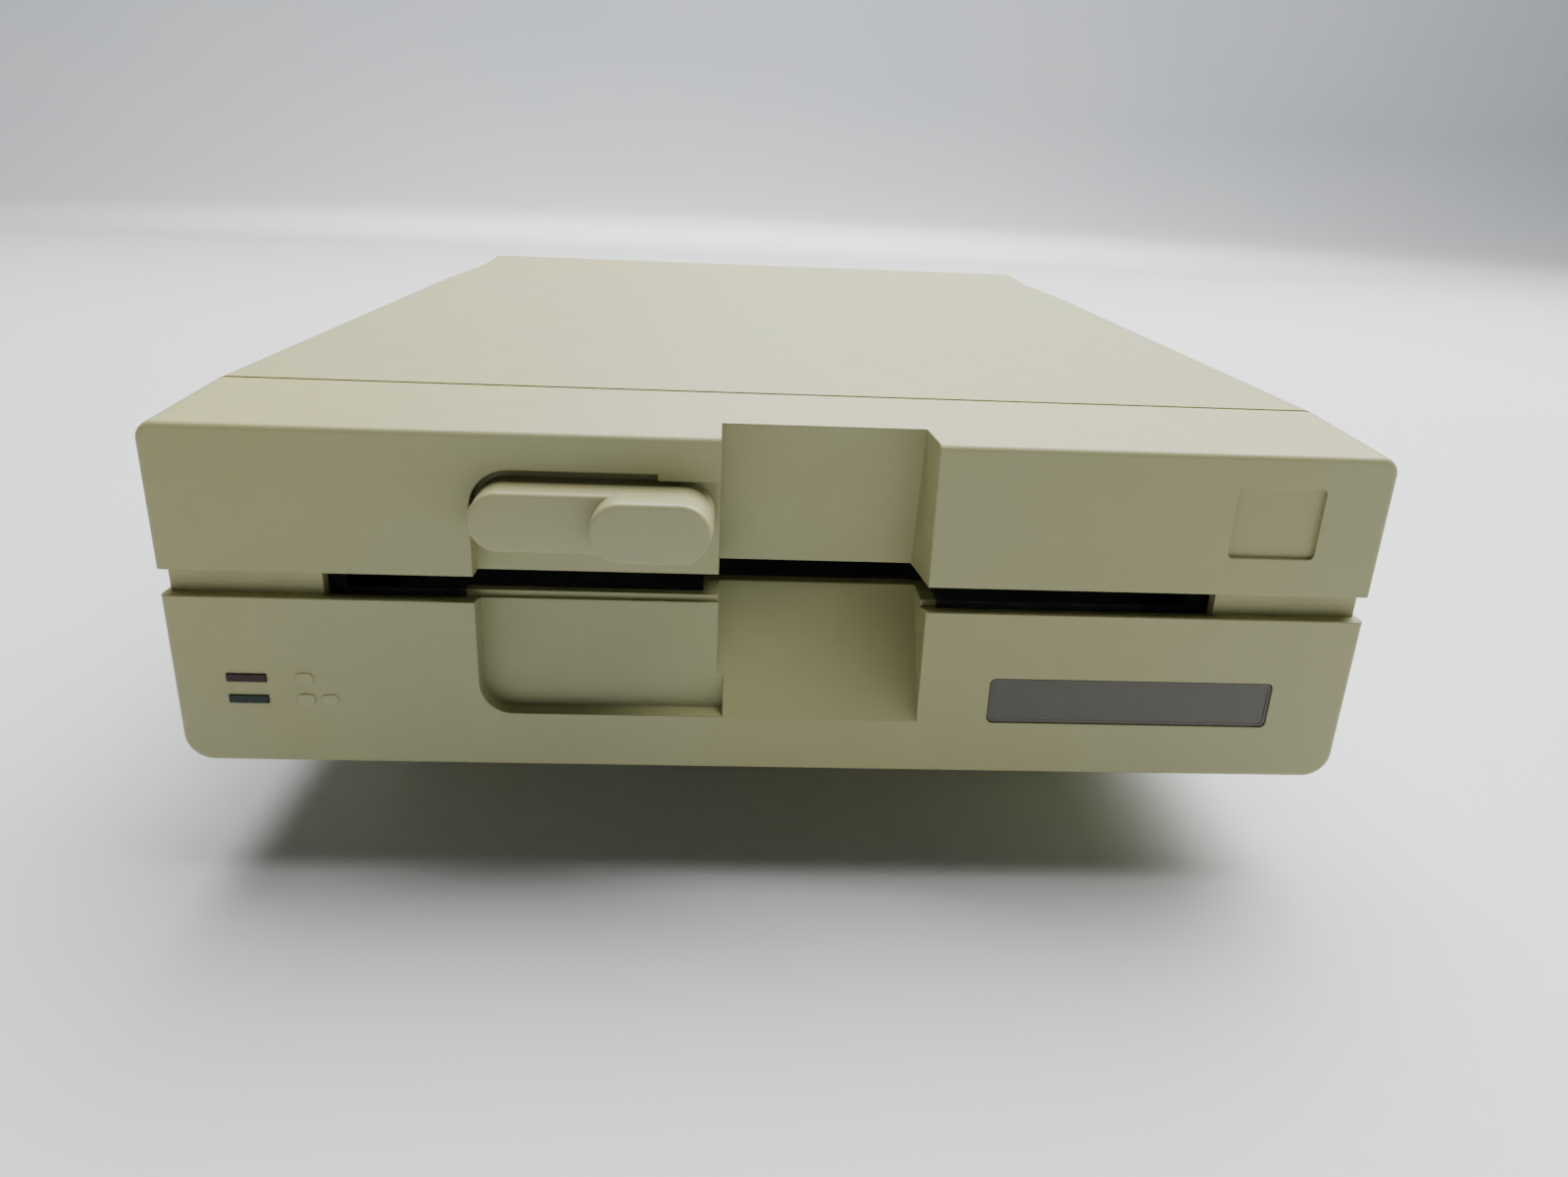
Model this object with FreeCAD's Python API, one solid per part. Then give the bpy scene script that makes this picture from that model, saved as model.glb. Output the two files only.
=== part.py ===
"""External floppy disk drive in a moulded two-part case, with its lever, clamp, spindle and head mechanism.

Millimetres. The model is drawn with y = 0 on the front face, +y to the rear, +x to the right and
z = 0 on the table. On writing it is moved along y, so that the origin is under the middle of the drive.
"""
import FreeCAD, Part
import math
import os

V = FreeCAD.Vector

# Case, outside
case_width = 184.0
case_depth = 256.0
case_height = 76.0
wall = 2.5
stiffener_ys = (60.0, 120.0)
stiffener_drop = 3.0
front_drop = 1.5
top_line_y = 26.15
top_line_width = 1.0
top_line_depth = 0.6
dish_start_y = 182.0
dish_low_y = 232.0
dish_drop = 0.8
top_corner_r = 2.85
bottom_corner_r = 4.3
edge_r = 1.0
face_bottom_z = 20.4

# Groove between the two halves, with the disk slot in it
slot_floor_z = 48.16
slot_height = 4.19
slot_width = 137.3
groove_depth = 2.5
side_groove_depth = 0.7
tongue = 2.2
lip_height = 3.5
lip_thick = 1.6
joint_gap = 0.3
slot_chamfer = 1.2

# Finger notch in the upper half and scoop in the lower half
notch_left = -9.1
notch_right = 22.8
notch_top_depth = 7.8
notch_bottom_depth = 11.0
notch_side_draft = 1.4
scoop_depth = 12.3
scoop_bottom_z = 29.5

# Recess that the lever swings in
recess_left = -45.7
recess_top_z = 68.9
recess_depth = 3.5
recess_corner_r = 6.0
ledge_width = 9.1
ledge_drop = 1.0
low_recess_bottom_z = 29.7
low_recess_top_depth = 5.0
low_recess_bottom_depth = 3.3
low_recess_corner_r = 5.0

# Bare square recess, name plate and indicator windows on the front
badge_left = 68.2
badge_bottom_z = 58.3
badge_width = 13.4
badge_height = 11.2
badge_depth = 0.7
badge_corner_r = 0.8
plate_left = 34.0
plate_bottom_z = 29.5
plate_width = 45.6
plate_height = 7.8
plate_depth = 0.8
plate_thick = 0.6
plate_corner_r = 1.0
window_left = -83.9
window_width = 6.0
window_height = 1.35
red_window_z = 35.0
green_window_z = 31.4
window_proud = 0.25
window_flange = 0.8
lamp_board_y = 9.0
lamp_board_thick = 1.2
lamp_length = 5.0
lamp_height = 2.0

# Base pan under the lower half, and its feet
pan_top_half = 78.0
pan_bottom_half = 75.0
pan_front_top_y = 38.0
pan_front_bottom_y = 44.0
pan_corner_r = 8.0
foot_height = 3.0
foot_r = 7.0
foot_pocket = 1.0
foot_x = 62.0
foot_front_y = 62.0
foot_rear_y = 238.0
vent_count = 9
vent_pitch = 8.0
vent_width = 3.0
vent_length = 34.0
vent_y = 106.0

# Lever
lever_x = -14.6
lever_z = 62.4
lever_reach = 25.95
lever_height = 9.5
lever_front = 5.0
lever_gap = 0.5
lever_edge_r = 0.8
knob_length = 15.2
knob_height = 8.4
knob_front = 8.75
knob_inset = 0.9
lever_shaft_r = 2.5
lever_shaft_rear_y = 110.0
cam_y = 94.0
cam_width = 8.0
cam_gap = 0.45
cam_points = 8
cam_corner_turn = 0.8
clip_groove_width = 0.8
clip_groove_depth = 0.5

# Screws
screw_r = 1.5
screw_head_r = 2.9
screw_head_h = 2.0
thread_gap = 0.05
case_screw_x = 82.2
case_screw_front_y = 30.0
case_screw_rear_y = 238.0
case_boss_r = 4.5
case_screw_seat_z = 40.0
case_screw_length = 24.0
screw_slot = 0.8

# Disk and its place
jacket_width = 133.35
jacket_thick = 1.6
jacket_front_y = 10.0
guide_side_gap = 0.5
guide_shelf = 5.0
guide_lip = 3.0
guide_lip_thick = 1.8

# Drive chassis
frame_half = 73.0
frame_front_y = 16.0
frame_rear_y = 200.0
frame_bottom_z = 29.5
frame_top_z = 66.0
frame_wall = 3.0
deck_top_z = 44.0
deck_thick = 3.0
carriage_bay_half = 22.0
carriage_bay_front_y = 99.0
carriage_bay_rear_y = 180.0
chassis_rise = 6.0
chassis_rib = 2.0
chassis_rib_reach = 4.0
chassis_tail = 14.0
deck_window_x = 45.0
deck_window_half = 13.0
deck_windows = ((36.0, 62.0), (106.0, 132.0))
post_r = 3.0
drive_board_posts = ((-60.0, 10.0), (60.0, 10.0), (-60.0, 20.0), (30.0, 6.0))
drive_board_rise = 14.0
drive_board_half = 66.0
drive_board_front = 24.0
pilot_r = 1.2
side_screw_ys = (84.0, 140.0)
side_screw_length = 4.0
top_plate_thick = 1.5
top_screw_length = 1.4
plate_margin = 14.0
plate_window_r = 5.0
bracket_thick = 1.2
bracket_front_y = 66.0
bracket_rear_y = 158.0
bracket_screw_ys = (72.0, 150.0)
bracket_rise = 4.0
bracket_screw_length = 5.0

# Spindle and its motor
hub_r = 17.5
hub_height = 3.5
hub_socket_r = 14.6
hub_socket_depth = 2.2
spindle_r = 3.0
bearing_r = 8.0
bearing_height = 4.0
bearing_gap = 0.03
bearing_boss_r = 11.0
bearing_boss_drop = 7.0
motor_board_z = 37.0
motor_board_thick = 1.6
motor_board_half = 36.0
coil_count = 6
coil_ring_r = 21.0
coil_r = 7.0
coil_height = 1.5
rotor_r = 31.0
rotor_bottom_z = 30.2
rotor_plate_thick = 1.6
magnet_height = 2.9
magnet_inner_r = 14.0
rotor_collar = 3.0
rotor_collar_height = 1.4
rotor_hole_r = 2.0
rotor_hole_ring_r = 10.0
rotor_hole_count = 4

# Clamp arm and cone
arm_lift = 5.4
arm_hinge_y = 151.0
arm_thick = 1.6
arm_front_z = 51.0
arm_step = 2.2
arm_plate_half = 28.0
arm_leg_width = 8.0
arm_plate_front_y = 88.0
arm_plate_rear_y = 104.0
arm_tail_y = 165.0
arm_nose_r = 10.0
hinge_pin_r = 1.5
hinge_lug_gap = 0.5
hinge_lug_thick = 3.0
lug_width = 9.0
cone_r = 13.9
cone_tip = 1.2
cone_flange_r = 17.0
cone_flange_thick = 1.6
cone_stub_r = 3.0
pinch_gap = 0.15
spring_coil_r = 3.0
spring_wire_r = 0.4
spring_turns = 5

# Head carriage, travel and heads
track_zero_r = 57.15
track_pitch = 0.529
track_count = 40
step_angle = 3.6
carriage_half = 19.0
carriage_front = 8.0
carriage_rear = 41.0
carriage_bottom_z = 42.0
carriage_top_drop = 0.25
rod_x = 14.0
rod_r = 1.5
rod_gap = 0.05
rod_drop = 2.3
rod_block_length = 3.0
head_half = 4.0
head_pad_r = 3.0
head_gap = 0.4
post_half = 9.0
post_front = 32.0
post_length = 8.0
arm_pivot_rise = 6.8
head_lift = 8.5
pressure_arm_half = 6.0
pressure_arm_thick = 1.4
arm_pin_r = 1.0
post_ear = 2.5
flag_thick = 0.9
flag_reach = 31.0
band_height = 3.2
band_thick = 0.2
band_bar_width = 4.9
band_length = 32.0
band_gap = 0.1
pulley_y = 166.0
pulley_x = 47.62
stepper_r = 19.5
stepper_height = 11.0
stepper_shaft_r = 2.0
stepper_nose = 2.9
stepper_nose_height = 1.5

# Boards
board_thick = 1.6
board_half = 70.0
board_front_y = 74.0
board_lift = 3.5
board_screw_inset = 6.0
board_screw_rear_gap = 34.0
board_screw_length = 4.5
board_boss_r = 3.5
bracket_boss_r = 4.0
chip_lift = 4.2
chip_height = 3.6
wide_chips = ((-32, 96), (32, 96), (-32, 120), (32, 120))
medium_chips = ((-36, 142), (8, 142))
small_chips = ((-52, 162), (-24, 162), (4, 162), (32, 162))
wide_chip_length = 52.0
medium_chip_length = 36.0
small_chip_length = 20.0
wide_chip_width = 13.8
small_chip_width = 6.6
capacitor_cans = ((44, 190, 5.0, 14.0), (32, 190, 4.0, 11.0), (56, 176, 4.0, 11.0),
                  (-56, 190, 3.2, 9.0), (-4, 190, 3.2, 9.0))
crystal_left = -40.0
crystal_front_y = 182.0
crystal_length = 11.0
crystal_width = 4.6
crystal_height = 13.5
crystal_flange = 0.8
header_pitch = 2.54
header_height = 8.8
header_half = 4.4
header_wall = 1.2
front_header = (-40, 204, 10)
rear_header = (36, 206, 5)
socket_height = 9.5
din_nose_r = 8.6
din_hole_gap = 0.3
din_body = 20.0
din_pin_ring_r = 3.5
din_pin_r = 0.75
din_groove_outer_r = 7.3
din_groove_inner_r = 6.1
din_depth = 7.0
din_key_half = 1.3
din_body_depth = 16.0
serial_a_x = -50.0
serial_b_x = -26.0
power_din_x = 26.0
switch_x = 52.0
switch_width = 19.0
switch_height = 13.0
rocker_tilt = 12.0
switch_rim = 1.2
switch_rim_thick = 1.4
switch_body_depth = 16.0
switch_wall = 1.5
switch_pad_length = 5.0
switch_pivot_depth = 1.5
rocker_pin_r = 0.85
address_x = 0.0
address_width = 9.0
address_height = 7.0
slider_travel = 1.6
slider_length = 2.6
slider_width = 1.6
slider_pitch = 4.0
slider_gap = 0.1
slider_back = 3.1
slider_front = 0.4

# Worked out from the sizes above
half = case_width / 2
slot_top_z = slot_floor_z + slot_height
floor_z = face_bottom_z + wall
pan_floor_z = foot_height + wall
disk_z = slot_floor_z - 0.06
spindle_y = jacket_front_y + jacket_width / 2
head_y = spindle_y + track_zero_r
carriage_travel = (track_count - 1) * track_pitch
pulley_r = track_pitch / math.radians(step_angle)
case_screws_at = [(sx * case_screw_x, y) for sx in (-1, 1) for y in (case_screw_front_y, case_screw_rear_y)]
feet_at = [(sx * foot_x, y) for sx in (-1, 1) for y in (foot_front_y, foot_rear_y)]


def box(x0, x1, y0, y1, z0, z1):
    return Part.makeBox(x1 - x0, y1 - y0, z1 - z0, V(x0, y0, z0))


def rod(r, start, end):
    """Round bar of radius r between two points."""
    a = V(*start)
    b = V(*end)
    return Part.makeCylinder(r, (b - a).Length, a, b - a)


def upright(r, x, y, z0, z1):
    return rod(r, (x, y, z0), (x, y, z1))


def outline(corners, plane, level):
    """Closed wire through flat corners (u, v, radius), each rounded by its radius, in a plane at a level."""
    def lift(p):
        if plane == "xz":
            return V(p.x, level, p.y)
        if plane == "yz":
            return V(level, p.x, p.y)
        return V(p.x, p.y, level)

    bends = []
    for i, (u, v, r) in enumerate(corners):
        corner = V(u, v, 0)
        before = V(corners[i - 1][0], corners[i - 1][1], 0) - corner
        after = V(corners[(i + 1) % len(corners)][0], corners[(i + 1) % len(corners)][1], 0) - corner
        before.normalize()
        after.normalize()
        turn = before.getAngle(after) / 2
        reach = r / math.tan(turn)
        middle = before + after
        if r > 0:
            middle.normalize()
        crown = corner + middle * (r / math.sin(turn) - r)
        bends.append((corner + before * reach, crown, corner + after * reach, r))
    edges = []
    for i, (start, middle, end, r) in enumerate(bends):
        if r > 0:
            edges.append(Part.Arc(lift(start), lift(middle), lift(end)).toShape())
        following = bends[(i + 1) % len(bends)][0]
        if (following - end).Length > 1e-6:
            edges.append(Part.LineSegment(lift(end), lift(following)).toShape())
    return Part.Wire(edges)


def prism(corners, plane, low, high):
    """Flat outline carried square to its plane from low to high."""
    along = {"xz": V(0, 1, 0), "yz": V(1, 0, 0), "xy": V(0, 0, 1)}[plane]
    rounded = [tuple(c) + (0,) * (3 - len(c)) for c in corners]
    return Part.Face(outline(rounded, plane, low)).extrude(along * (high - low))


def rectangle(u0, u1, v0, v1, r=0.0):
    return [(u0, v0, r), (u1, v0, r), (u1, v1, r), (u0, v1, r)]


def on_side(side, near, far):
    """The two x values of a piece on one side, in rising order."""
    return sorted((side * near, side * far))


def turned(corners, x, y):
    """Profile (radius, z, corner radius) turned about an upright axis at x, y."""
    shape = Part.Face(outline(corners, "xz", 0)).revolve(V(0, 0, 0), V(0, 0, 1), 360)
    shape.translate(V(x, y, 0))
    return shape


def fuse(shapes):
    return shapes[0].fuse(shapes[1:]).removeSplitter()


def ring(outer, inner, z0, z1):
    """Upright wall between two plan rectangles (x half width, front y, rear y)."""
    solid = box(-outer[0], outer[0], outer[1], outer[2], z0, z1)
    return solid.cut(box(-inner[0], inner[0], inner[1], inner[2], z0 - 1, z1 + 1))


def edges_at_y(shape, y, above_z=None, below_z=None):
    """Edges that lie in the plane at y, leaving out the open rim of the half."""
    found = []
    for edge in shape.Edges:
        flat = all(abs(v.Point.y - y) < 1e-4 for v in edge.Vertexes)
        middle_z = edge.CenterOfMass.z
        if flat and (above_z is None or middle_z > above_z) and (below_z is None or middle_z < below_z):
            found.append(edge)
    return found


def screw(x, y, seat_z, length, up=True):
    """Pan-head screw whose head bears on the seat; up means that its point is above its head."""
    way = 1 if up else -1
    shank = upright(screw_r, x, y, seat_z, seat_z + way * length)
    head = upright(screw_head_r, x, y, seat_z - way * screw_head_h, seat_z)
    face_z = seat_z - way * screw_head_h
    slot = box(x - screw_head_r, x + screw_head_r, y - screw_slot / 2, y + screw_slot / 2,
               face_z - screw_slot * 0.75, face_z + screw_slot * 0.75)
    return shank.fuse(head).cut(slot)


def top_z(y):
    """Height of the top at a distance from the front: bevel, flat, shallow dish."""
    if y < top_line_y:
        return case_height - front_drop * (1 - y / top_line_y)
    if y < dish_start_y:
        return case_height
    if y < dish_low_y:
        return case_height - dish_drop * (y - dish_start_y) / (dish_low_y - dish_start_y)
    return case_height - dish_drop * (case_depth - y) / (case_depth - dish_low_y)


def upper_block(inset, bottom_z):
    """Upper half as a solid block, each section rounded at its top corners, drawn in by the inset."""
    stations = [inset, top_line_y, dish_start_y, dish_low_y, case_depth - inset]
    r = max(top_corner_r - inset, 0.4)
    sections = []
    for y in stations:
        corners = [(-half + inset, bottom_z, 0), (half - inset, bottom_z, 0),
                   (half - inset, top_z(y) - inset, r), (-half + inset, top_z(y) - inset, r)]
        sections.append(outline(corners, "xz", y))
    return Part.makeLoft(sections, True, True)


def notch_cutter():
    """Finger notch: a leaning back plane and one drafted side."""
    lean = (notch_bottom_depth - notch_top_depth) / (case_height - slot_top_z)
    low_z = slot_top_z - 1
    high_z = case_height + 2
    deep = prism([(-2, low_z), (notch_bottom_depth + lean, low_z), (notch_top_depth - 2 * lean, high_z),
                  (-2, high_z)], "yz", notch_left, notch_right)
    back = notch_bottom_depth + 2
    side = prism([(notch_left, -2), (notch_right + 0.3, -2), (notch_right - notch_side_draft, back),
                  (notch_left, back)], "xy", low_z, high_z)
    return deep.common(side)


def top_line():
    """Thin line over the top and down both sides, behind the front bevel."""
    y0 = top_line_y - top_line_width / 2
    y1 = top_line_y + top_line_width / 2
    z1 = case_height + 1
    band = box(-half - 1, half + 1, y0, y1, slot_top_z - 1, z1)
    core = rectangle(-half + top_line_depth, half - top_line_depth, slot_top_z - 2,
                     case_height - top_line_depth, top_corner_r)
    return band.cut(prism(core, "xz", y0 - 1, y1 + 1))


def upper_case():
    block = upper_block(0, slot_top_z)
    block = block.makeFillet(edge_r, edges_at_y(block, 0, above_z=slot_top_z + 0.1))
    block = block.makeFillet(edge_r, edges_at_y(block, case_depth, above_z=slot_top_z + 0.1))
    shell = block.cut(upper_block(wall, slot_top_z - 1))
    notch_back = box(notch_left - wall, notch_right + wall, 0, notch_bottom_depth + wall,
                     slot_top_z, case_height)
    recess_back = box(recess_left - wall, notch_left, 0, recess_depth + wall, slot_top_z, recess_top_z + wall)
    shell = fuse([shell, notch_back.common(block), recess_back.common(block)])
    recess = prism([(recess_left, slot_top_z - 1, 0), (notch_left + 1, slot_top_z - 1, 0),
                    (notch_left + 1, recess_top_z, 0), (recess_left, recess_top_z, recess_corner_r)],
                   "xz", -1, recess_depth)
    ledge_z = recess_top_z - ledge_drop
    ledge = box(notch_left - ledge_width, notch_left, 0, recess_depth, ledge_z, recess_top_z)
    recess = recess.cut(ledge)
    hole = rod(lever_shaft_r + joint_gap, (lever_x, 0, lever_z), (lever_x, 2 * recess_depth + wall, lever_z))
    badge = prism(rectangle(badge_left, badge_left + badge_width, badge_bottom_z,
                            badge_bottom_z + badge_height, badge_corner_r), "xz", -1, badge_depth)
    shell = shell.cut([notch_cutter(), recess, hole, badge, top_line()])
    ceiling = case_height - wall
    pieces = [shell]
    for x, y in case_screws_at:
        boss = upright(case_boss_r - 0.5, x, y, slot_top_z + lip_height, ceiling)
        x0, x1 = on_side(math.copysign(1, x), abs(x), half - wall)
        web = box(x0, x1, y - 0.8, y + 0.8, slot_top_z + lip_height + joint_gap, ceiling)
        pieces += [boss, web]
    for y in stiffener_ys:
        pieces.append(box(-half + wall, half - wall, y, y + wall / 2, ceiling - stiffener_drop, ceiling))
    shell = fuse(pieces)
    pilots = [upright(screw_r + thread_gap, x, y, slot_top_z, case_screw_seat_z + case_screw_length + 1)
              for x, y in case_screws_at]
    return shell.cut(pilots)


def pan_block(inset, low_z, high_z):
    """Base pan: a hopper with sloping front and sides and an upright rear."""
    def section(z):
        share = (z - foot_height) / (face_bottom_z - foot_height)
        x = pan_bottom_half + (pan_top_half - pan_bottom_half) * share - inset
        y = pan_front_bottom_y + (pan_front_top_y - pan_front_bottom_y) * share + inset
        r = pan_corner_r - inset
        rear = case_depth - inset
        return outline([(-x, y, r), (x, y, r), (x, rear, 0), (-x, rear, 0)], "xy", z)

    return Part.makeLoft([section(low_z), section(high_z)], True, True)


def scoop_cutter():
    """Scoop under the notch: one plane from the slot out to the front face."""
    slope = scoop_depth / (slot_floor_z - scoop_bottom_z)
    high_z = slot_top_z + 1
    return prism([(-2 * slope, scoop_bottom_z - 2), ((high_z - scoop_bottom_z) * slope, high_z),
                  (-2 * slope, high_z)], "yz", notch_left, notch_right)


def low_recess_cutter():
    """Lower end of the lever recess, deeper at its top than at its bottom."""
    high_z = slot_top_z + 1
    rate = (low_recess_top_depth - low_recess_bottom_depth) / (slot_floor_z - low_recess_bottom_z)
    low_depth = low_recess_bottom_depth - rate
    high_depth = low_recess_top_depth + rate * (high_z - slot_floor_z)
    side = prism([(-1, low_recess_bottom_z - 1), (low_depth, low_recess_bottom_z - 1), (high_depth, high_z),
                  (-1, high_z)], "yz", recess_left, notch_left + 1)
    low_z = low_recess_bottom_z
    right = notch_left + 1
    face = prism([(recess_left, low_z, low_recess_corner_r), (right, low_z, 0), (right, high_z, 0),
                  (recess_left, high_z, 0)], "xz", -1, high_depth + 1)
    return side.common(face)


def rear_cutters():
    """Holes in the rear wall for the sockets, the power switch and the address switch."""
    y0 = case_depth - 2 * wall
    y1 = case_depth + 1
    z = socket_z()
    r = din_nose_r + din_hole_gap
    holes = [rod(r, (x, y0, z), (x, y1, z)) for x in (serial_a_x, serial_b_x, power_din_x)]
    holes.append(box(switch_x - switch_width / 2, switch_x + switch_width / 2, y0, y1,
                     z - switch_height / 2, z + switch_height / 2))
    reach = address_width / 2 + joint_gap
    rise = address_height / 2 + joint_gap
    holes.append(box(address_x - reach, address_x + reach, y0, y1, z - rise, z + rise))
    return holes


def lower_case():
    tray = prism([(-half, face_bottom_z, bottom_corner_r), (half, face_bottom_z, bottom_corner_r),
                  (half, slot_floor_z, 0), (-half, slot_floor_z, 0)], "xz", 0, case_depth)
    tray = tray.makeFillet(edge_r, edges_at_y(tray, 0, below_z=slot_floor_z - 0.1))
    tray = tray.makeFillet(edge_r, edges_at_y(tray, case_depth, below_z=slot_floor_z - 0.1))
    inner_r = max(bottom_corner_r - wall, 0.4)
    tray_room = prism([(-half + wall, floor_z, inner_r), (half - wall, floor_z, inner_r),
                       (half - wall, slot_top_z, 0), (-half + wall, slot_top_z, 0)],
                      "xz", wall, case_depth - wall)
    pan = pan_block(0, foot_height, face_bottom_z + 1)
    pan_room = pan_block(wall, pan_floor_z, floor_z + 1)
    shell = fuse([tray, pan]).cut([tray_room, pan_room])

    band_out = (half - side_groove_depth, groove_depth, case_depth - side_groove_depth)
    band_in = (band_out[0] - tongue, band_out[1] + tongue, band_out[2] - tongue)
    band = ring(band_out, band_in, slot_floor_z - tongue, slot_top_z)
    lip_out = (half - wall - joint_gap, wall + joint_gap, case_depth - wall - joint_gap)
    lip_in = (lip_out[0] - lip_thick, lip_out[1] + lip_thick, lip_out[2] - lip_thick)
    lip = ring(lip_out, lip_in, slot_top_z - tongue, slot_top_z + lip_height)

    scoop_back = prism([(0, scoop_bottom_z - wall), (wall, scoop_bottom_z - 2 * wall),
                        (scoop_depth + wall, slot_floor_z - wall), (scoop_depth + wall, slot_floor_z),
                        (0, slot_floor_z)], "yz", notch_left - wall, notch_right + wall)
    recess_back = box(recess_left - wall, notch_left, 0, low_recess_top_depth + wall,
                      low_recess_bottom_z - wall, slot_floor_z)
    shell = fuse([shell, band, lip, scoop_back, recess_back])

    slot_half = slot_width / 2
    slot = box(-slot_half, slot_half, -1, scoop_depth + 2 * wall, slot_floor_z, slot_top_z + lip_height + 1)
    mouth_z = slot_floor_z + 0.01
    mouth_y = groove_depth + tongue + 1
    mouth = prism([(groove_depth - slot_chamfer, mouth_z), (mouth_y, mouth_z),
                   (mouth_y, slot_floor_z - slot_chamfer)], "yz", -slot_half, slot_half)
    plate_room = prism(rectangle(plate_left, plate_left + plate_width, plate_bottom_z,
                                 plate_bottom_z + plate_height, plate_corner_r), "xz", -1, plate_depth)
    cuts = [slot, mouth, scoop_cutter(), low_recess_cutter(), plate_room]
    for z in (red_window_z, green_window_z):
        cuts.append(box(window_left, window_left + window_width, -1, wall + 1,
                        z - window_height / 2, z + window_height / 2))
    cuts += rear_cutters()
    for i in range(vent_count):
        x = (i - (vent_count - 1) / 2) * vent_pitch
        cuts.append(prism(rectangle(x - vent_width / 2, x + vent_width / 2, vent_y, vent_y + vent_length,
                                    vent_width / 2 - 0.01), "xy", foot_height - 1, pan_floor_z + 1))
    for x, y in feet_at:
        cuts.append(upright(foot_r, x, y, foot_height - 1, foot_height + foot_pocket))
    shell = shell.cut(cuts)

    bosses = []
    holes = []
    for x, y in case_screws_at:
        bosses.append(upright(case_boss_r, x, y, floor_z - 1, slot_top_z + lip_height - joint_gap))
        holes.append(upright(screw_head_r + joint_gap, x, y, face_bottom_z - 1, case_screw_seat_z))
        holes.append(upright(screw_r + joint_gap, x, y, face_bottom_z, case_height))
    for x, y in bracket_feet_at():
        bosses.append(upright(bracket_boss_r, x, y, floor_z - 1, bracket_foot_z()))
        holes.append(upright(screw_r + thread_gap, x, y, floor_z, bracket_foot_z() + 1))
    for x, y in board_screws_at():
        bosses.append(upright(board_boss_r, x, y, pan_floor_z - 1, pan_floor_z + board_lift))
        holes.append(upright(screw_r + thread_gap, x, y, pan_floor_z, pan_floor_z + board_lift + 1))
    shell = fuse([shell] + bosses)
    return shell.cut(holes)


def board_top_z():
    return pan_floor_z + board_lift + board_thick


def socket_z():
    """Height of the middle of the rear sockets and switches."""
    return board_top_z() + socket_height


def board_screws_at():
    x = board_half - board_screw_inset
    ys = (board_front_y + board_screw_inset, case_depth - wall - board_screw_rear_gap)
    return [(sx * x, y) for sx in (-1, 1) for y in ys]


def bracket_foot_z():
    return floor_z + bracket_rise


def bracket_feet_at():
    return [(sx * case_screw_x, y) for sx in (-1, 1) for y in bracket_screw_ys]


def foot(x, y):
    """Rubber foot: a turned pad with a rounded lower rim."""
    corners = [(0, 0, 0), (foot_r - 0.6, 0, 0.5), (foot_r - 0.1, foot_height + foot_pocket, 0),
               (0, foot_height + foot_pocket, 0)]
    return turned(corners, x, y)


def pill(centre_x, centre_z, length, height, y0, y1):
    """Bar with round ends, drawn in the front view."""
    x0 = centre_x - length / 2
    x1 = centre_x + length / 2
    z0 = centre_z - height / 2
    z1 = centre_z + height / 2
    r = height / 2
    edges = [Part.LineSegment(V(x0 + r, y0, z0), V(x1 - r, y0, z0)).toShape(),
             Part.Arc(V(x1 - r, y0, z0), V(x1, y0, centre_z), V(x1 - r, y0, z1)).toShape(),
             Part.LineSegment(V(x1 - r, y0, z1), V(x0 + r, y0, z1)).toShape(),
             Part.Arc(V(x0 + r, y0, z1), V(x0, y0, centre_z), V(x0 + r, y0, z0)).toShape()]
    return Part.Face(Part.Wire(edges)).extrude(V(0, y1 - y0, 0))


def lever_handle():
    """Lever: a bar with round ends and a raised thumb knob over its pivot."""
    back_y = recess_depth - lever_gap
    length = lever_reach + lever_height
    bar_x = lever_x - lever_reach / 2
    bar = pill(bar_x, lever_z, length, lever_height, -lever_front, back_y)
    bar = bar.makeFillet(lever_edge_r, edges_at_y(bar, -lever_front))
    knob_x = lever_x + lever_height / 2 - knob_inset - knob_length / 2
    knob = pill(knob_x, lever_z - 0.3, knob_length, knob_height, -knob_front, -lever_front + 1)
    knob = knob.makeFillet(lever_edge_r, edges_at_y(knob, -knob_front))
    return bar.fuse(knob)


def lever_shaft():
    """Shaft from the lever to the cam, with a clip groove near its end."""
    back_y = recess_depth - lever_gap
    shaft = rod(lever_shaft_r, (lever_x, back_y, lever_z), (lever_x, lever_shaft_rear_y, lever_z))
    start = (lever_x, lever_shaft_rear_y - 2 * clip_groove_width, lever_z)
    end = (lever_x, lever_shaft_rear_y - clip_groove_width, lever_z)
    groove = rod(lever_shaft_r, start, end).cut(rod(lever_shaft_r - clip_groove_depth, start, end))
    return shaft.cut(groove)


def arm_pad_drop():
    """How far the clamp arm drops under the cam as the lever turns."""
    return (arm_hinge_y - cam_y - cam_width) * math.sin(math.radians(arm_lift))


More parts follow.
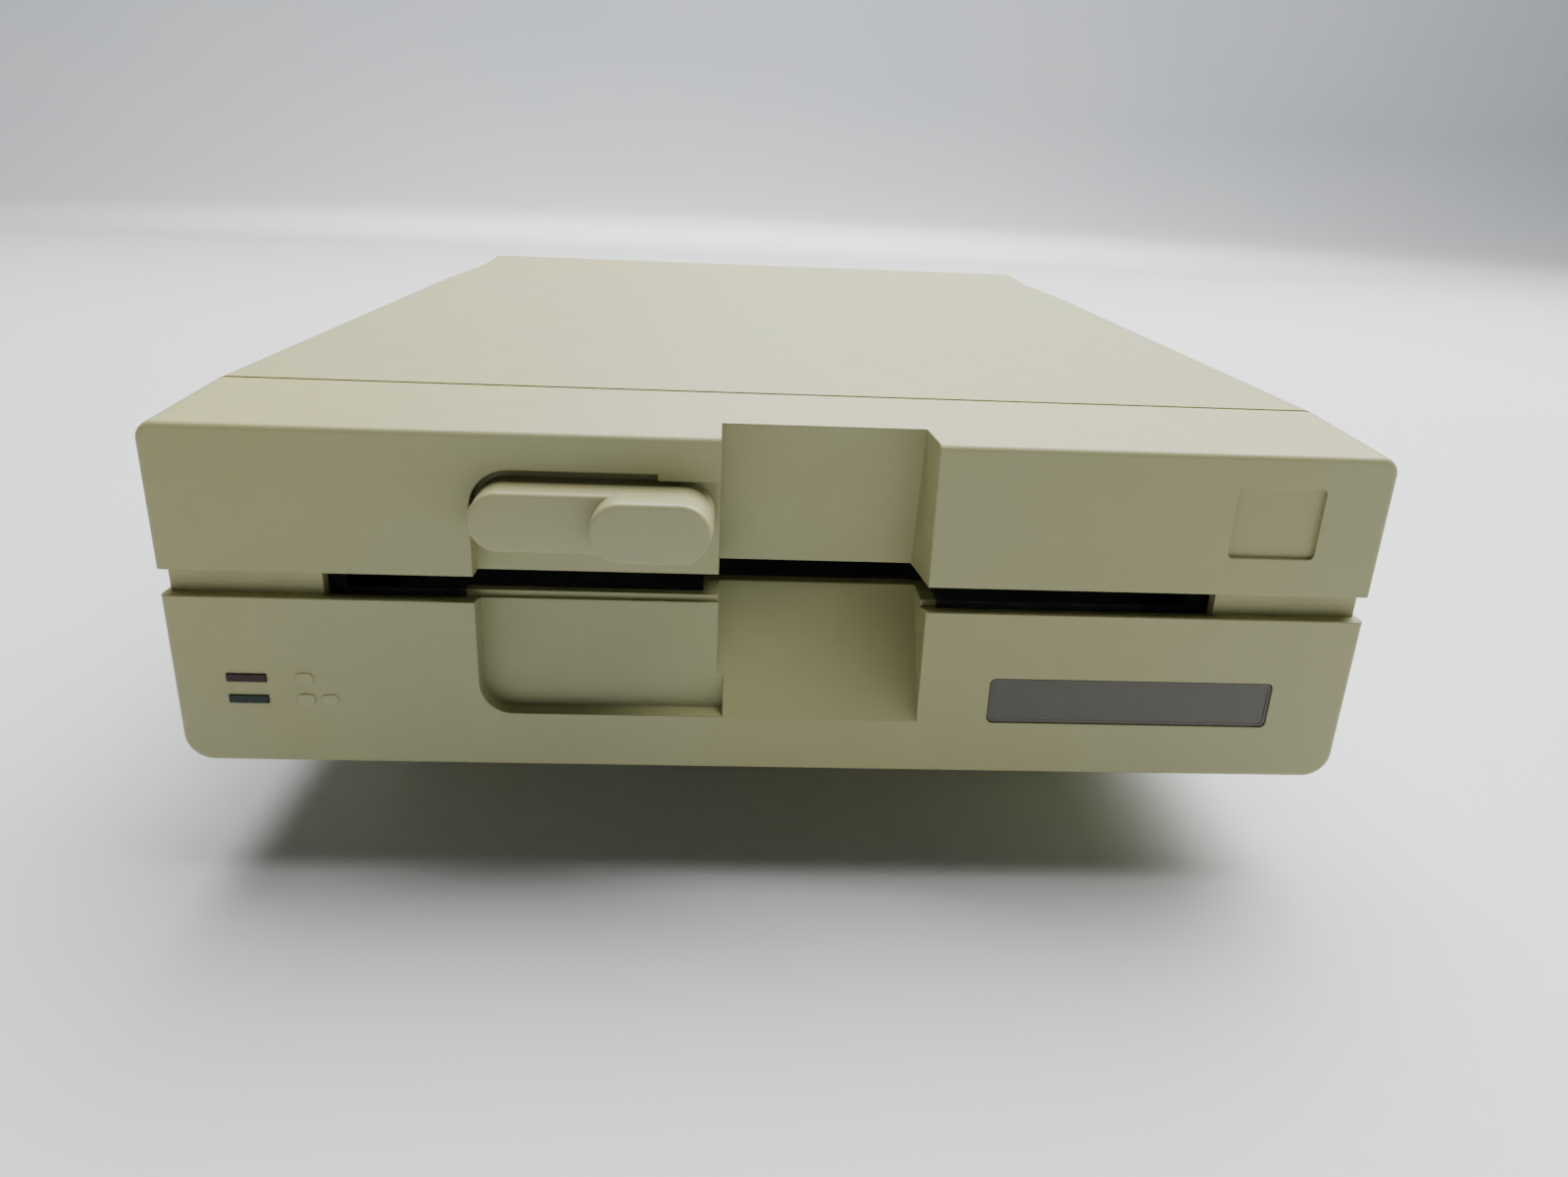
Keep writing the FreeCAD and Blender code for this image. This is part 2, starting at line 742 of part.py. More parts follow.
def clamp_cam():
    """Cam on the lever shaft. Its flank is an involute, so the flat arm under it drops evenly."""
    closed_reach = lever_z - (arm_front_z + arm_thick) - cam_gap
    tilt_spare = cam_width * math.sin(math.radians(arm_lift))
    open_reach = max(closed_reach - arm_pad_drop() - tilt_spare, lever_shaft_r + 0.6)
    rate = (closed_reach - open_reach) / (math.pi / 2)
    flank = []
    for i in range(cam_points + 1):
        swing = math.pi / 2 * i / cam_points
        reach = open_reach + rate * swing
        way = -math.pi / 2 - swing
        flank.append(V(lever_x + reach * math.cos(way) + rate * math.sin(way), cam_y,
                       lever_z + reach * math.sin(way) - rate * math.cos(way)))
    curve = Part.BSplineCurve()
    curve.interpolate(flank)
    back_r = frame_top_z - joint_gap - lever_z
    back = V(lever_x, cam_y, lever_z + back_r)
    crown = V(lever_x + back_r * math.cos(cam_corner_turn), cam_y,
              lever_z + back_r * math.sin(cam_corner_turn))
    right = V(lever_x + back_r, cam_y, lever_z)
    edges = [curve.toShape(),
             Part.LineSegment(flank[-1], back).toShape(),
             Part.Arc(back, crown, right).toShape(),
             Part.LineSegment(right, flank[0]).toShape()]
    blank = Part.Face(Part.Wire(edges)).extrude(V(0, cam_width, 0))
    bore = rod(lever_shaft_r, (lever_x, cam_y - 1, lever_z), (lever_x, cam_y + cam_width + 1, lever_z))
    return blank.cut(bore)


def name_plate():
    fit = 0.1
    return prism(rectangle(plate_left + fit, plate_left + plate_width - fit, plate_bottom_z + fit,
                           plate_bottom_z + plate_height - fit, plate_corner_r - fit / 2),
                 "xz", plate_depth - plate_thick, plate_depth)


def window(z):
    """Light pipe through the front wall, with a flange behind it."""
    fit = 0.05
    face = box(window_left + fit, window_left + window_width - fit, -window_proud, wall,
               z - window_height / 2 + fit, z + window_height / 2 - fit)
    flange = box(window_left - window_flange, window_left + window_width + window_flange, wall,
                 wall + window_flange, z - window_height / 2 - 0.5, z + window_height / 2 + 0.5)
    return face.fuse(flange)


def led_board():
    return box(window_left - 3, window_left + window_width + 6, lamp_board_y, lamp_board_y + lamp_board_thick,
               floor_z, red_window_z + 6)


def led(z):
    x = window_left + window_width / 2
    return box(x - lamp_length / 2, x + lamp_length / 2, wall + window_flange + joint_gap, lamp_board_y,
               z - lamp_height / 2, z + lamp_height / 2)


def chassis_side(side):
    """Side wall of the chassis: full height beside the disk, low behind the arm's hinge."""
    x0, x1 = on_side(side, frame_half - frame_wall, frame_half)
    low_z = deck_top_z + chassis_rise
    front = frame_front_y
    tail = arm_hinge_y + chassis_tail
    return prism([(front, frame_bottom_z + chassis_rise, 0), (front + chassis_rise, frame_bottom_z, 0),
                  (frame_rear_y, frame_bottom_z, 0), (frame_rear_y, low_z, 0), (tail + 8, low_z, 3),
                  (tail, frame_top_z, 3), (front, frame_top_z, 0)], "yz", x0, x1)


def drive_frame():
    """Cast chassis: a deck with side walls, bearing boss, rod blocks and the bay of the head carriage."""
    bottom = deck_top_z - deck_thick
    inner = frame_half - frame_wall
    deck = box(-frame_half, frame_half, frame_front_y, frame_rear_y, bottom, deck_top_z)
    parts = [deck]
    for sx in (-1, 1):
        parts.append(chassis_side(sx))
        x0, x1 = on_side(sx, inner - chassis_rib_reach, inner)
        for y in (frame_front_y + 22, spindle_y - 16, spindle_y + 16, arm_hinge_y - 22):
            parts.append(box(x0, x1, y - chassis_rib / 2, y + chassis_rib / 2, frame_bottom_z + 3, bottom))
    parts.append(box(-inner, inner, frame_front_y, frame_front_y + frame_wall, bottom - 5, bottom))
    parts.append(box(-inner, inner, frame_rear_y - frame_wall, frame_rear_y, frame_bottom_z + 2, bottom))
    parts.append(upright(bearing_boss_r, 0, spindle_y, bottom - bearing_boss_drop, deck_top_z))
    for x in (-rod_x, rod_x):
        for y in (carriage_bay_front_y - rod_block_length, carriage_bay_rear_y):
            parts.append(box(x - 3, x + 3, y, y + rod_block_length, deck_top_z, disk_z - 0.2))
    for x, y in motor_posts_at():
        parts.append(upright(post_r, x, y, motor_board_z + motor_board_thick, bottom))
    for x, y in drive_board_posts_at():
        parts.append(upright(post_r, x, y, deck_top_z, drive_board_z()))
    casting = fuse(parts)
    bay = prism(rectangle(-carriage_bay_half, carriage_bay_half, carriage_bay_front_y,
                          carriage_bay_rear_y, 3.0), "xy", bottom - 6, deck_top_z + 0.01)
    cuts = [bay, upright(bearing_r, 0, spindle_y, frame_bottom_z, deck_top_z + 1)]
    for x in (-rod_x, rod_x):
        cuts.append(rod(rod_r, (x, carriage_bay_front_y - rod_block_length - 1, rod_z()),
                        (x, carriage_bay_rear_y + rod_block_length + 1, rod_z())))
    cuts.append(upright(stepper_shaft_r + 3, pulley_x, pulley_y, bottom - 1, deck_top_z + 1))
    for sx in (-1, 1):
        middle = sx * deck_window_x
        for y0, y1 in deck_windows:
            opening = rectangle(middle - deck_window_half, middle + deck_window_half, y0, y1, 4.0)
            cuts.append(prism(opening, "xy", bottom - 1, deck_top_z + 1))
        x0, x1 = on_side(sx, inner - 1, frame_half + 1)
        for y in side_screw_ys:
            cuts.append(rod(screw_r + thread_gap, (x0, y, side_screw_z()), (x1, y, side_screw_z())))
    for x, y in motor_posts_at():
        cuts.append(upright(pilot_r, x, y, motor_board_z, bottom))
    return casting.cut(cuts)


def rod_z():
    return disk_z - rod_drop


def side_screw_z():
    return frame_bottom_z + 6.0


def motor_posts_at():
    reach = motor_board_half - 5
    return [(sx * reach, spindle_y + sy * reach) for sx in (-1, 1) for sy in (-1, 1)]


def drive_board_z():
    return deck_top_z + drive_board_rise


def drive_board_posts_at():
    return [(x, frame_rear_y - back) for x, back in drive_board_posts]


def drive_board():
    z = drive_board_z()
    return box(-drive_board_half, drive_board_half, frame_rear_y - drive_board_front, frame_rear_y - 1,
               z, z + board_thick)


def top_plate():
    """Pressed bridge over the chassis, with four lugs: two carry the lever shaft, two the clamp arm."""
    z0 = frame_top_z
    z1 = z0 + top_plate_thick
    rear_y = arm_hinge_y + chassis_tail - 3
    sheet = box(-frame_half, frame_half, frame_front_y, rear_y, z0, z1)
    side = frame_half - plate_margin
    front = frame_front_y + plate_margin
    rooms = ((-side, lever_x - 12, front, cam_y - 4), (lever_x + 12, side, front, cam_y - 4),
             (-side, side, arm_plate_rear_y + 12, arm_hinge_y - 10))
    parts = [sheet.cut([prism(rectangle(*room, plate_window_r), "xy", z0 - 1, z1 + 1) for room in rooms])]
    for y in (frame_front_y + 2, lever_shaft_rear_y - 5):
        lug = box(lever_x - lug_width / 2, lever_x + lug_width / 2, y, y + 3, lever_z - lug_width / 2, z0)
        bore = rod(lever_shaft_r + bearing_gap, (lever_x, y - 1, lever_z), (lever_x, y + 4, lever_z))
        parts.append(lug.cut(bore))
    for sx in (-1, 1):
        lug_in = arm_plate_half + hinge_lug_gap
        x0, x1 = on_side(sx, lug_in, lug_in + hinge_lug_thick)
        lug = prism([(arm_hinge_y - lug_width / 2, z0, 0), (arm_hinge_y - lug_width / 3, hinge_z() - 3, 2),
                     (arm_hinge_y + lug_width / 3, hinge_z() - 3, 2), (arm_hinge_y + lug_width / 2, z0, 0)],
                    "yz", x0, x1)
        bore = rod(hinge_pin_r, (x0 - 1, arm_hinge_y, hinge_z()), (x1 + 1, arm_hinge_y, hinge_z()))
        parts.append(lug.cut(bore))
    bridge = fuse(parts)
    holes = [upright(screw_r + joint_gap, x, y, z0 - 1, z1 + 1) for x, y in top_screws_at()]
    return bridge.cut(holes)


def top_screws_at():
    x = frame_half - frame_wall / 2
    return [(sx * x, y) for sx in (-1, 1) for y in (frame_front_y + 8, arm_hinge_y + 2)]


def hinge_z():
    return arm_front_z + arm_step + arm_thick / 2


def disk_guide(side):
    """Moulded channel that the edge of a disk jacket slides in."""
    reach = frame_half - frame_wall
    inner = jacket_width / 2 + guide_side_gap
    y0 = frame_front_y + 0.5
    y1 = jacket_front_y + jacket_width - 1
    top = slot_top_z + 0.05
    lip_z = top + guide_lip_thick
    shelf = inner - guide_shelf
    lip = inner - guide_lip
    corners = [(shelf, deck_top_z, 0), (reach, deck_top_z, 0), (reach, lip_z, 0), (lip, lip_z, 0.6),
               (lip, top, 0.4), (inner, top, 0), (inner, disk_z, 0), (shelf, disk_z, 0.6)]
    if side < 0:
        corners = [(-x, z, r) for x, z, r in corners]
    return prism(corners, "xz", y0, y1)


def bracket(side):
    """Folded steel bracket between the chassis wall and the floor of the lower half."""
    t = bracket_thick
    x_in = frame_half
    y0 = bracket_front_y
    y1 = bracket_rear_y
    z0 = bracket_foot_z()
    upright_wall = box(x_in, x_in + t, y0, y1, z0, frame_bottom_z + 12)
    foot_flange = box(x_in, case_screw_x + 5, y0, y1, z0, z0 + t)
    folded = fuse([upright_wall, foot_flange])
    holes = [upright(screw_r + joint_gap, abs(x), y, z0 - 1, z0 + t + 1) for x, y in bracket_feet_at()]
    z = side_screw_z()
    for y in side_screw_ys:
        holes.append(rod(screw_r + joint_gap, (x_in - 1, y, z), (x_in + t + 1, y, z)))
    folded = folded.cut(holes)
    if side < 0:
        folded = folded.mirror(V(0, 0, 0), V(1, 0, 0))
    return folded


def bracket_screws():
    seat_z = bracket_foot_z() + bracket_thick
    screws = [screw(x, y, seat_z, bracket_screw_length, up=False) for x, y in bracket_feet_at()]
    z = side_screw_z()
    for sx in (-1, 1):
        seat = sx * (frame_half + bracket_thick)
        for y in side_screw_ys:
            shank = rod(screw_r, (seat, y, z), (seat - sx * side_screw_length, y, z))
            head = rod(screw_head_r, (seat, y, z), (seat + sx * screw_head_h, y, z))
            screws.append(shank.fuse(head))
    return screws


def spindle_bearings():
    bottom = deck_top_z - deck_thick - bearing_boss_drop
    rings = []
    for z in (bottom, deck_top_z - bearing_height):
        race = upright(bearing_r, 0, spindle_y, z, z + bearing_height)
        rings.append(race.cut(upright(spindle_r + bearing_gap, 0, spindle_y, z - 1, z + bearing_height + 1)))
    return rings


def hub_bottom_z():
    return disk_z - hub_height


def spindle_hub():
    """Turned hub: its rim carries the disk, its tapered socket takes the cone."""
    top = disk_z
    low = hub_bottom_z()
    waist = hub_r - 2.5
    floor = top - hub_socket_depth
    corners = [(spindle_r, low, 0), (waist, low, 0), (waist, top - 1.6, 0), (hub_r, top - 1.2, 0.3),
               (hub_r, top, 0.3), (hub_socket_r, top, 0), (hub_socket_r - 1.2, floor, 0.5),
               (spindle_r + 2, floor, 0), (spindle_r, floor, 0)]
    return turned(corners, 0, spindle_y)


def spindle_shaft():
    return upright(spindle_r, 0, spindle_y, rotor_bottom_z, disk_z - hub_socket_depth)


def rotor_plate():
    z0 = rotor_bottom_z
    disc = upright(rotor_r, 0, spindle_y, z0, z0 + rotor_plate_thick)
    collar = upright(spindle_r + rotor_collar, 0, spindle_y, z0, z0 + rotor_plate_thick + rotor_collar_height)
    cuts = [upright(spindle_r, 0, spindle_y, z0 - 1, z0 + 6)]
    for i in range(rotor_hole_count):
        a = 2 * math.pi * (i + 0.5) / rotor_hole_count
        x = rotor_hole_ring_r * math.cos(a)
        y = spindle_y + rotor_hole_ring_r * math.sin(a)
        cuts.append(upright(rotor_hole_r, x, y, z0 - 1, z0 + 5))
    return disc.fuse(collar).cut(cuts)


def rotor_magnet():
    z0 = rotor_bottom_z + rotor_plate_thick
    outer = upright(rotor_r - 1, 0, spindle_y, z0, z0 + magnet_height)
    return outer.cut(upright(magnet_inner_r, 0, spindle_y, z0 - 1, z0 + magnet_height + 1))


def motor_board():
    half_side = motor_board_half
    z0 = motor_board_z
    sheet = prism(rectangle(-half_side, half_side, spindle_y - half_side, spindle_y + half_side, 3.0), "xy",
                  z0, z0 + motor_board_thick)
    return sheet.cut(upright(bearing_boss_r + 0.6, 0, spindle_y, z0 - 1, z0 + motor_board_thick + 1))


def motor_coils():
    coils = []
    for i in range(coil_count):
        a = 2 * math.pi * i / coil_count
        x = coil_ring_r * math.cos(a)
        y = spindle_y + coil_ring_r * math.sin(a)
        z0 = motor_board_z - coil_height
        coil = upright(coil_r, x, y, z0, motor_board_z)
        coils.append(coil.cut(upright(coil_r / 2.5, x, y, z0 - 1, motor_board_z + 1)))
    return coils


def open_arm(shape):
    """Lift a piece of the clamp from its clamped place to its place with the lever open."""
    shape.rotate(V(0, arm_hinge_y, hinge_z()), V(1, 0, 0), -arm_lift)
    return shape


def clamp_arm():
    """Sheet arm: a nose over the spindle, a pad under the cam and two legs to the hinge."""
    z0 = arm_front_z
    z1 = z0 + arm_thick
    leg_in = arm_plate_half - arm_leg_width
    nose = upright(arm_nose_r, 0, spindle_y, z0, z1)
    neck = box(-arm_nose_r, arm_nose_r, spindle_y, arm_plate_front_y + 1, z0, z1)
    pad = box(-arm_plate_half, arm_plate_half, arm_plate_front_y, arm_plate_rear_y, z0, z1)
    parts = [nose, neck, pad]
    for sx in (-1, 1):
        x0, x1 = on_side(sx, leg_in, arm_plate_half)
        run = arm_plate_rear_y
        leg = prism([(run - 4, z0), (run, z0), (run + 4, z0 + arm_step), (arm_tail_y, z0 + arm_step),
                     (arm_tail_y, z1 + arm_step), (run + 4, z1 + arm_step), (run, z1), (run - 4, z1)],
                    "yz", x0, x1)
        barrel = rod(hinge_pin_r + 1.6, (x0, arm_hinge_y, hinge_z()), (x1, arm_hinge_y, hinge_z()))
        parts += [leg, barrel]
    arm = fuse(parts)
    bores = [upright(cone_stub_r + bearing_gap, 0, spindle_y, z0 - 1, z1 + 1),
             rod(hinge_pin_r + bearing_gap, (-arm_plate_half - 1, arm_hinge_y, hinge_z()),
                 (arm_plate_half + 1, arm_hinge_y, hinge_z()))]
    return open_arm(arm.cut(bores))


def hinge_pins():
    pins = []
    for sx in (-1, 1):
        inner = sx * (arm_plate_half - arm_leg_width + 1)
        outer = sx * (arm_plate_half + hinge_lug_gap + hinge_lug_thick)
        pins.append(rod(hinge_pin_r, (inner, arm_hinge_y, hinge_z()), (outer, arm_hinge_y, hinge_z())))
    return pins


def clamp_cone():
    """Turned cone: its taper centres the disk, its flange pinches it on the hub."""
    flange_z = disk_z + pinch_gap
    stub_top = arm_front_z + arm_thick + 3.0
    corners = [(0, flange_z - cone_tip, 0), (cone_r - 0.6, flange_z - cone_tip, 0.3), (cone_r, flange_z, 0),
               (cone_flange_r, flange_z, 0.4), (cone_flange_r, flange_z + cone_flange_thick, 0.4),
               (cone_stub_r + 2, arm_front_z - joint_gap, 0.5), (cone_stub_r, arm_front_z - joint_gap, 0),
               (cone_stub_r, stub_top, 0), (0, stub_top, 0)]
    return open_arm(turned(corners, 0, spindle_y))


def cone_clip():
    z0 = arm_front_z + arm_thick + joint_gap
    clip = upright(cone_stub_r + 2, 0, spindle_y, z0, z0 + 0.8)
    clip = clip.cut(upright(cone_stub_r, 0, spindle_y, z0 - 1, z0 + 2))
    return open_arm(clip.cut(box(-1, 1, spindle_y - 6, spindle_y, z0 - 1, z0 + 2)))


def arm_spring():
    """Compression spring between the bridge and the tail of the clamp arm."""
    x = -arm_plate_half + arm_leg_width / 2
    y = arm_tail_y - spring_coil_r - spring_wire_r
    drop = (y - arm_hinge_y) * math.tan(math.radians(arm_lift))
    z0 = arm_front_z + arm_step + arm_thick - drop + joint_gap + spring_wire_r + 0.5
    z1 = frame_top_z - joint_gap - spring_wire_r
    path = Part.makeHelix((z1 - z0) / spring_turns, z1 - z0, spring_coil_r)
    ring_wire = Part.Wire(Part.makeCircle(spring_wire_r, V(spring_coil_r, 0, 0), V(0, 1, 0)))
    coil = Part.Wire(path.Edges).makePipeShell([ring_wire], True, True)
    coil.translate(V(x, y, z0))
    return coil


def guide_rods():
    y0 = carriage_bay_front_y - rod_block_length
    y1 = carriage_bay_rear_y + rod_block_length
    return [rod(rod_r, (x, y0, rod_z()), (x, y1, rod_z())) for x in (-rod_x, rod_x)]


def carriage_top_z():
    return disk_z - carriage_top_drop


def pivot_z():
    return disk_z + arm_pivot_rise


def pivot_y():
    return head_y + post_front + post_length / 2


def band_x():
    """Outer face of the band, which just clears the pulley."""
    return pulley_x - pulley_r - band_gap


def head_carriage():
    """Moulded carriage on two rods, with a post behind the disk for the pressure arm."""
    top = carriage_top_z()
    y0 = head_y - carriage_front
    y1 = head_y + carriage_rear
    body = prism(rectangle(-carriage_half, carriage_half, y0, y1, 2.0), "xy", carriage_bottom_z, top)
    post_y = head_y + post_front
    post = box(-post_half, post_half, post_y, post_y + post_length, top - 1, disk_z + 3)
    parts = [body, post]
    for sx in (-1, 1):
        x0, x1 = on_side(sx, post_half - post_ear, post_half)
        parts.append(box(x0, x1, pivot_y() - 3, pivot_y() + 3, top, pivot_z() + 2.4))
    bar_x0 = band_x() - band_thick - band_bar_width
    bar_y0 = pulley_y - (band_length - carriage_travel) / 2
    bar_z0 = top - band_height
    parts.append(box(bar_x0, band_x() - band_thick, bar_y0, bar_y0 + band_length, bar_z0, top))
    parts.append(box(carriage_half - 1, bar_x0 + 1, bar_y0, bar_y0 + 9, bar_z0, top))
    flag_z = disk_z + 1.0
    parts.append(box(-flag_reach, -post_half + 1, pivot_y() - 2, pivot_y() + 1, flag_z, flag_z + flag_thick))
    carriage = fuse(parts)
    cuts = [rod(rod_r + rod_gap, (x, y0 - 1, rod_z()), (x, y1 + 1, rod_z())) for x in (-rod_x, rod_x)]
    cuts.append(box(-head_half, head_half, head_y - head_half, head_y + head_half,
                    carriage_bottom_z + 1, top + 1))
    pocket = rectangle(-8, 8, head_y + 10, head_y + 26, 2.0)
    cuts.append(prism(pocket, "xy", carriage_bottom_z - 1, top - 1.5))
    cuts.append(rod(arm_pin_r, (-post_half - 1, pivot_y(), pivot_z()), (post_half + 1, pivot_y(), pivot_z())))
    return carriage.cut(cuts)


def lower_head():
    z1 = disk_z - 0.05
    block = box(-head_half, head_half, head_y - head_half, head_y + head_half,
                carriage_bottom_z + 1, z1 - 0.1)
    face = upright(head_pad_r, 0, head_y, z1 - 0.5, z1)
    return block.fuse(face)


def steel_band():
    top = carriage_top_z()
    y0 = pulley_y - (band_length - carriage_travel) / 2
    return box(band_x() - band_thick, band_x(), y0, y0 + band_length, top - band_height, top)


def open_head(shape):
    """Lift a piece of the pressure arm from the disk to its place with the lever open."""
    shape.rotate(V(0, pivot_y(), pivot_z()), V(1, 0, 0), -head_lift)
    return shape


def pressure_arm():
    z1 = pivot_z() + 0.4
    z0 = z1 - pressure_arm_thick
    ear_gap = 0.3
    reach = post_half - post_ear - ear_gap
    strap = prism(rectangle(-pressure_arm_half, pressure_arm_half, head_y - 5, pivot_y(), 2.0), "xy", z0, z1)
    barrel = rod(2.2, (-reach, pivot_y(), pivot_z()), (reach, pivot_y(), pivot_z()))
    rib_a = box(-pressure_arm_half, -pressure_arm_half + 1.2, head_y, pivot_y(), z0, z1 + 1.6)
    rib_b = box(pressure_arm_half - 1.2, pressure_arm_half, head_y, pivot_y(), z0, z1 + 1.6)
    arm = fuse([strap, barrel, rib_a, rib_b])
    return open_head(arm.cut(rod(arm_pin_r + bearing_gap, (-reach - 1, pivot_y(), pivot_z()),
                                 (reach + 1, pivot_y(), pivot_z()))))


def upper_head():
    low = disk_z - 0.05 + head_gap
    top = pivot_z() + 0.4 - pressure_arm_thick
    stem = upright(head_pad_r, 0, head_y, low, top)
    return open_head(stem.makeChamfer(0.5, [e for e in stem.Edges if abs(e.CenterOfMass.z - low) < 1e-4]))


def arm_pin():
    return rod(arm_pin_r, (-post_half, pivot_y(), pivot_z()), (post_half, pivot_y(), pivot_z()))


def stepper_motor():
    """Can of the stepping motor under the deck, with its flange and a shaft hole."""
    z1 = deck_top_z - deck_thick
    z0 = z1 - stepper_height
    can = upright(stepper_r, pulley_x, pulley_y, z0, z1)
    can = can.makeFillet(1.0, [e for e in can.Edges if abs(e.CenterOfMass.z - z0) < 1e-4])
    nose = upright(stepper_shaft_r + stepper_nose, pulley_x, pulley_y, z1, z1 + stepper_nose_height)
    return can.fuse(nose).cut(upright(stepper_shaft_r + bearing_gap, pulley_x, pulley_y, z0 + 1, z1 + 3))


def stepper_pulley():
    z1 = carriage_top_z()
    z0 = z1 - band_height
    wheel = upright(pulley_r, pulley_x, pulley_y, z0, z1)
    shaft = upright(stepper_shaft_r, pulley_x, pulley_y, deck_top_z - deck_thick - stepper_height + 1.3, z1)
    flat = box(pulley_x + pulley_r * 0.72, pulley_x + pulley_r + 1, pulley_y - 6, pulley_y + 6, z0, z1 + 1)
    return wheel.fuse(shaft).cut(flat)


def sensor_block(x0, x1, y0, y1):
    """Small opto block that stands on the deck under the disk."""
    top = disk_z - 0.2
    block = box(x0, x1, y0, y1, deck_top_z, top)
    return block.cut(upright(1.2, (x0 + x1) / 2, (y0 + y1) / 2, top - 1.5, top + 1))


def track_zero_sensor():
    """Forked opto switch: the flag of the carriage stands in its fork at track zero."""
    y = pivot_y() - 0.5
    block = box(-34, -25, y - 5, y + 5, deck_top_z, disk_z + 3.3)
    return block.cut(box(-32, -24, y - 6, y + 6, disk_z + 0.4, disk_z + 2.5))


def main_board():
    z0 = pan_floor_z + board_lift
    rear = case_depth - wall - 1.0
    sheet = box(-board_half, board_half, board_front_y, rear, z0, z0 + board_thick)
    holes = [upright(screw_r + joint_gap, x, y, z0 - 1, z0 + board_thick + 1) for x, y in board_screws_at()]
    return sheet.cut(holes)


def chip(x, y, length, width):
    """Dual in-line chip in its socket."""
    z0 = board_top_z()
    z1 = z0 + chip_lift
    a = length / 2
    b = width / 2
    body = box(x - a, x + a, y - b, y + b, z1, z1 + chip_height)
    notch = upright(1.2, x - a, y, z1 + chip_height / 2, z1 + chip_height + 1)
    seat = box(x - a - 0.5, x + a + 0.5, y - b - 1, y + b + 1, z0, z1)
    hole = box(x - a + 4, x + a - 4, y - b + 3, y + b - 3, z0 - 1, z1)
    return body.cut(notch).fuse(seat.cut(hole))


def integrated_circuits():
    wide = [chip(x, y, wide_chip_length, wide_chip_width) for x, y in wide_chips]
    medium = [chip(x, y, medium_chip_length, wide_chip_width) for x, y in medium_chips]
    small = [chip(x, y, small_chip_length, small_chip_width) for x, y in small_chips]
    return wide + medium + small


def capacitors():
    z0 = board_top_z()
    cans = []
    for x, y, r, h in capacitor_cans:
        can = upright(r, x, y, z0, z0 + h)
        cans.append(can.makeFillet(0.6, [e for e in can.Edges if abs(e.CenterOfMass.z - z0 - h) < 1e-4]))
    return cans


def crystal():
    z0 = board_top_z()
    x0, x1 = crystal_left, crystal_left + crystal_length
    y0, y1 = crystal_front_y, crystal_front_y + crystal_width
    can = prism(rectangle(x0, x1, y0, y1, 2.25), "xy", z0 + crystal_flange, z0 + crystal_height)
    flange = prism(rectangle(x0 - 0.6, x1 + 0.6, y0 - 0.4, y1 + 0.4, 2.6), "xy", z0, z0 + crystal_flange)
    return can.fuse(flange)


def board_header(x, y, pins):
    """Pin header with its shroud."""
    z0 = board_top_z()
    reach = pins * header_pitch / 2 + 2
    shroud = box(x - reach, x + reach, y - header_half, y + header_half, z0, z0 + header_height)
    inner = header_half - header_wall
    room = box(x - reach + header_wall, x + reach - header_wall, y - inner, y + inner,
               z0 + 2, z0 + header_height + header_wall)
    return shroud.cut(room)


def din_socket(x, pin_angles, centre_pin):
    """Round socket: a nose through the rear wall, a groove for the plug's shield and pin holes."""
    z = socket_z()
    rear = case_depth - wall
    nose = rod(din_nose_r, (x, rear - 1, z), (x, case_depth, z))
    body = box(x - din_body / 2, x + din_body / 2, rear - joint_gap - din_body_depth, rear - joint_gap,
               board_top_z(), z + din_body / 2)
    y0 = case_depth - din_depth
    y1 = case_depth + 1
    groove = rod(din_groove_outer_r, (x, y0, z), (x, y1, z))
    groove = groove.cut(rod(din_groove_inner_r, (x, y0 - 1, z), (x, y1, z)))
    key = box(x - din_key_half, x + din_key_half, y0, y1,
              z + din_groove_inner_r - 0.5, z + din_groove_outer_r)
    pins = [(x, z)] if centre_pin else []
    for a in map(math.radians, pin_angles):
        pins.append((x + din_pin_ring_r * math.cos(a), z + din_pin_ring_r * math.sin(a)))
    holes = [rod(din_pin_r, (px, y0, pz), (px, y1, pz)) for px, pz in pins]
    return fuse([nose, body]).cut([groove, key] + holes)


def switch_pivot_y():
    return case_depth - switch_pivot_depth


def switch_housing():
    """Snap-in body of the power switch with its rim on the rear wall."""
    z = socket_z()
    w = switch_width / 2
    h = switch_height / 2
    x = switch_x
    y = case_depth
    back = y - switch_body_depth
    rim = box(x - w - switch_rim, x + w + switch_rim, y, y + switch_rim_thick, z - h - 1.0, z + h + 1.0)
    body = box(x - w + 0.2, x + w - 0.2, back, y, z - h + 0.2, z + h - 0.2)
    inner = w - 0.2 - switch_wall
    room = box(x - inner, x + inner, y - 7.5, y + 2, z - h + 1.2, z + h - 1.2)
    pad_y = back - switch_pad_length
    pads = [box(px - 0.4, px + 0.4, pad_y, back + 1, z - 2.5, z + 2.5) for px in (x - 5, x + 5)]
    pivot = switch_pivot_y()
    pin_hole = rod(rocker_pin_r + 0.05, (x, pivot, z - h + 0.4), (x, pivot, z + h - 0.4))
    return fuse([rim, body] + pads).cut([room, pin_hole])


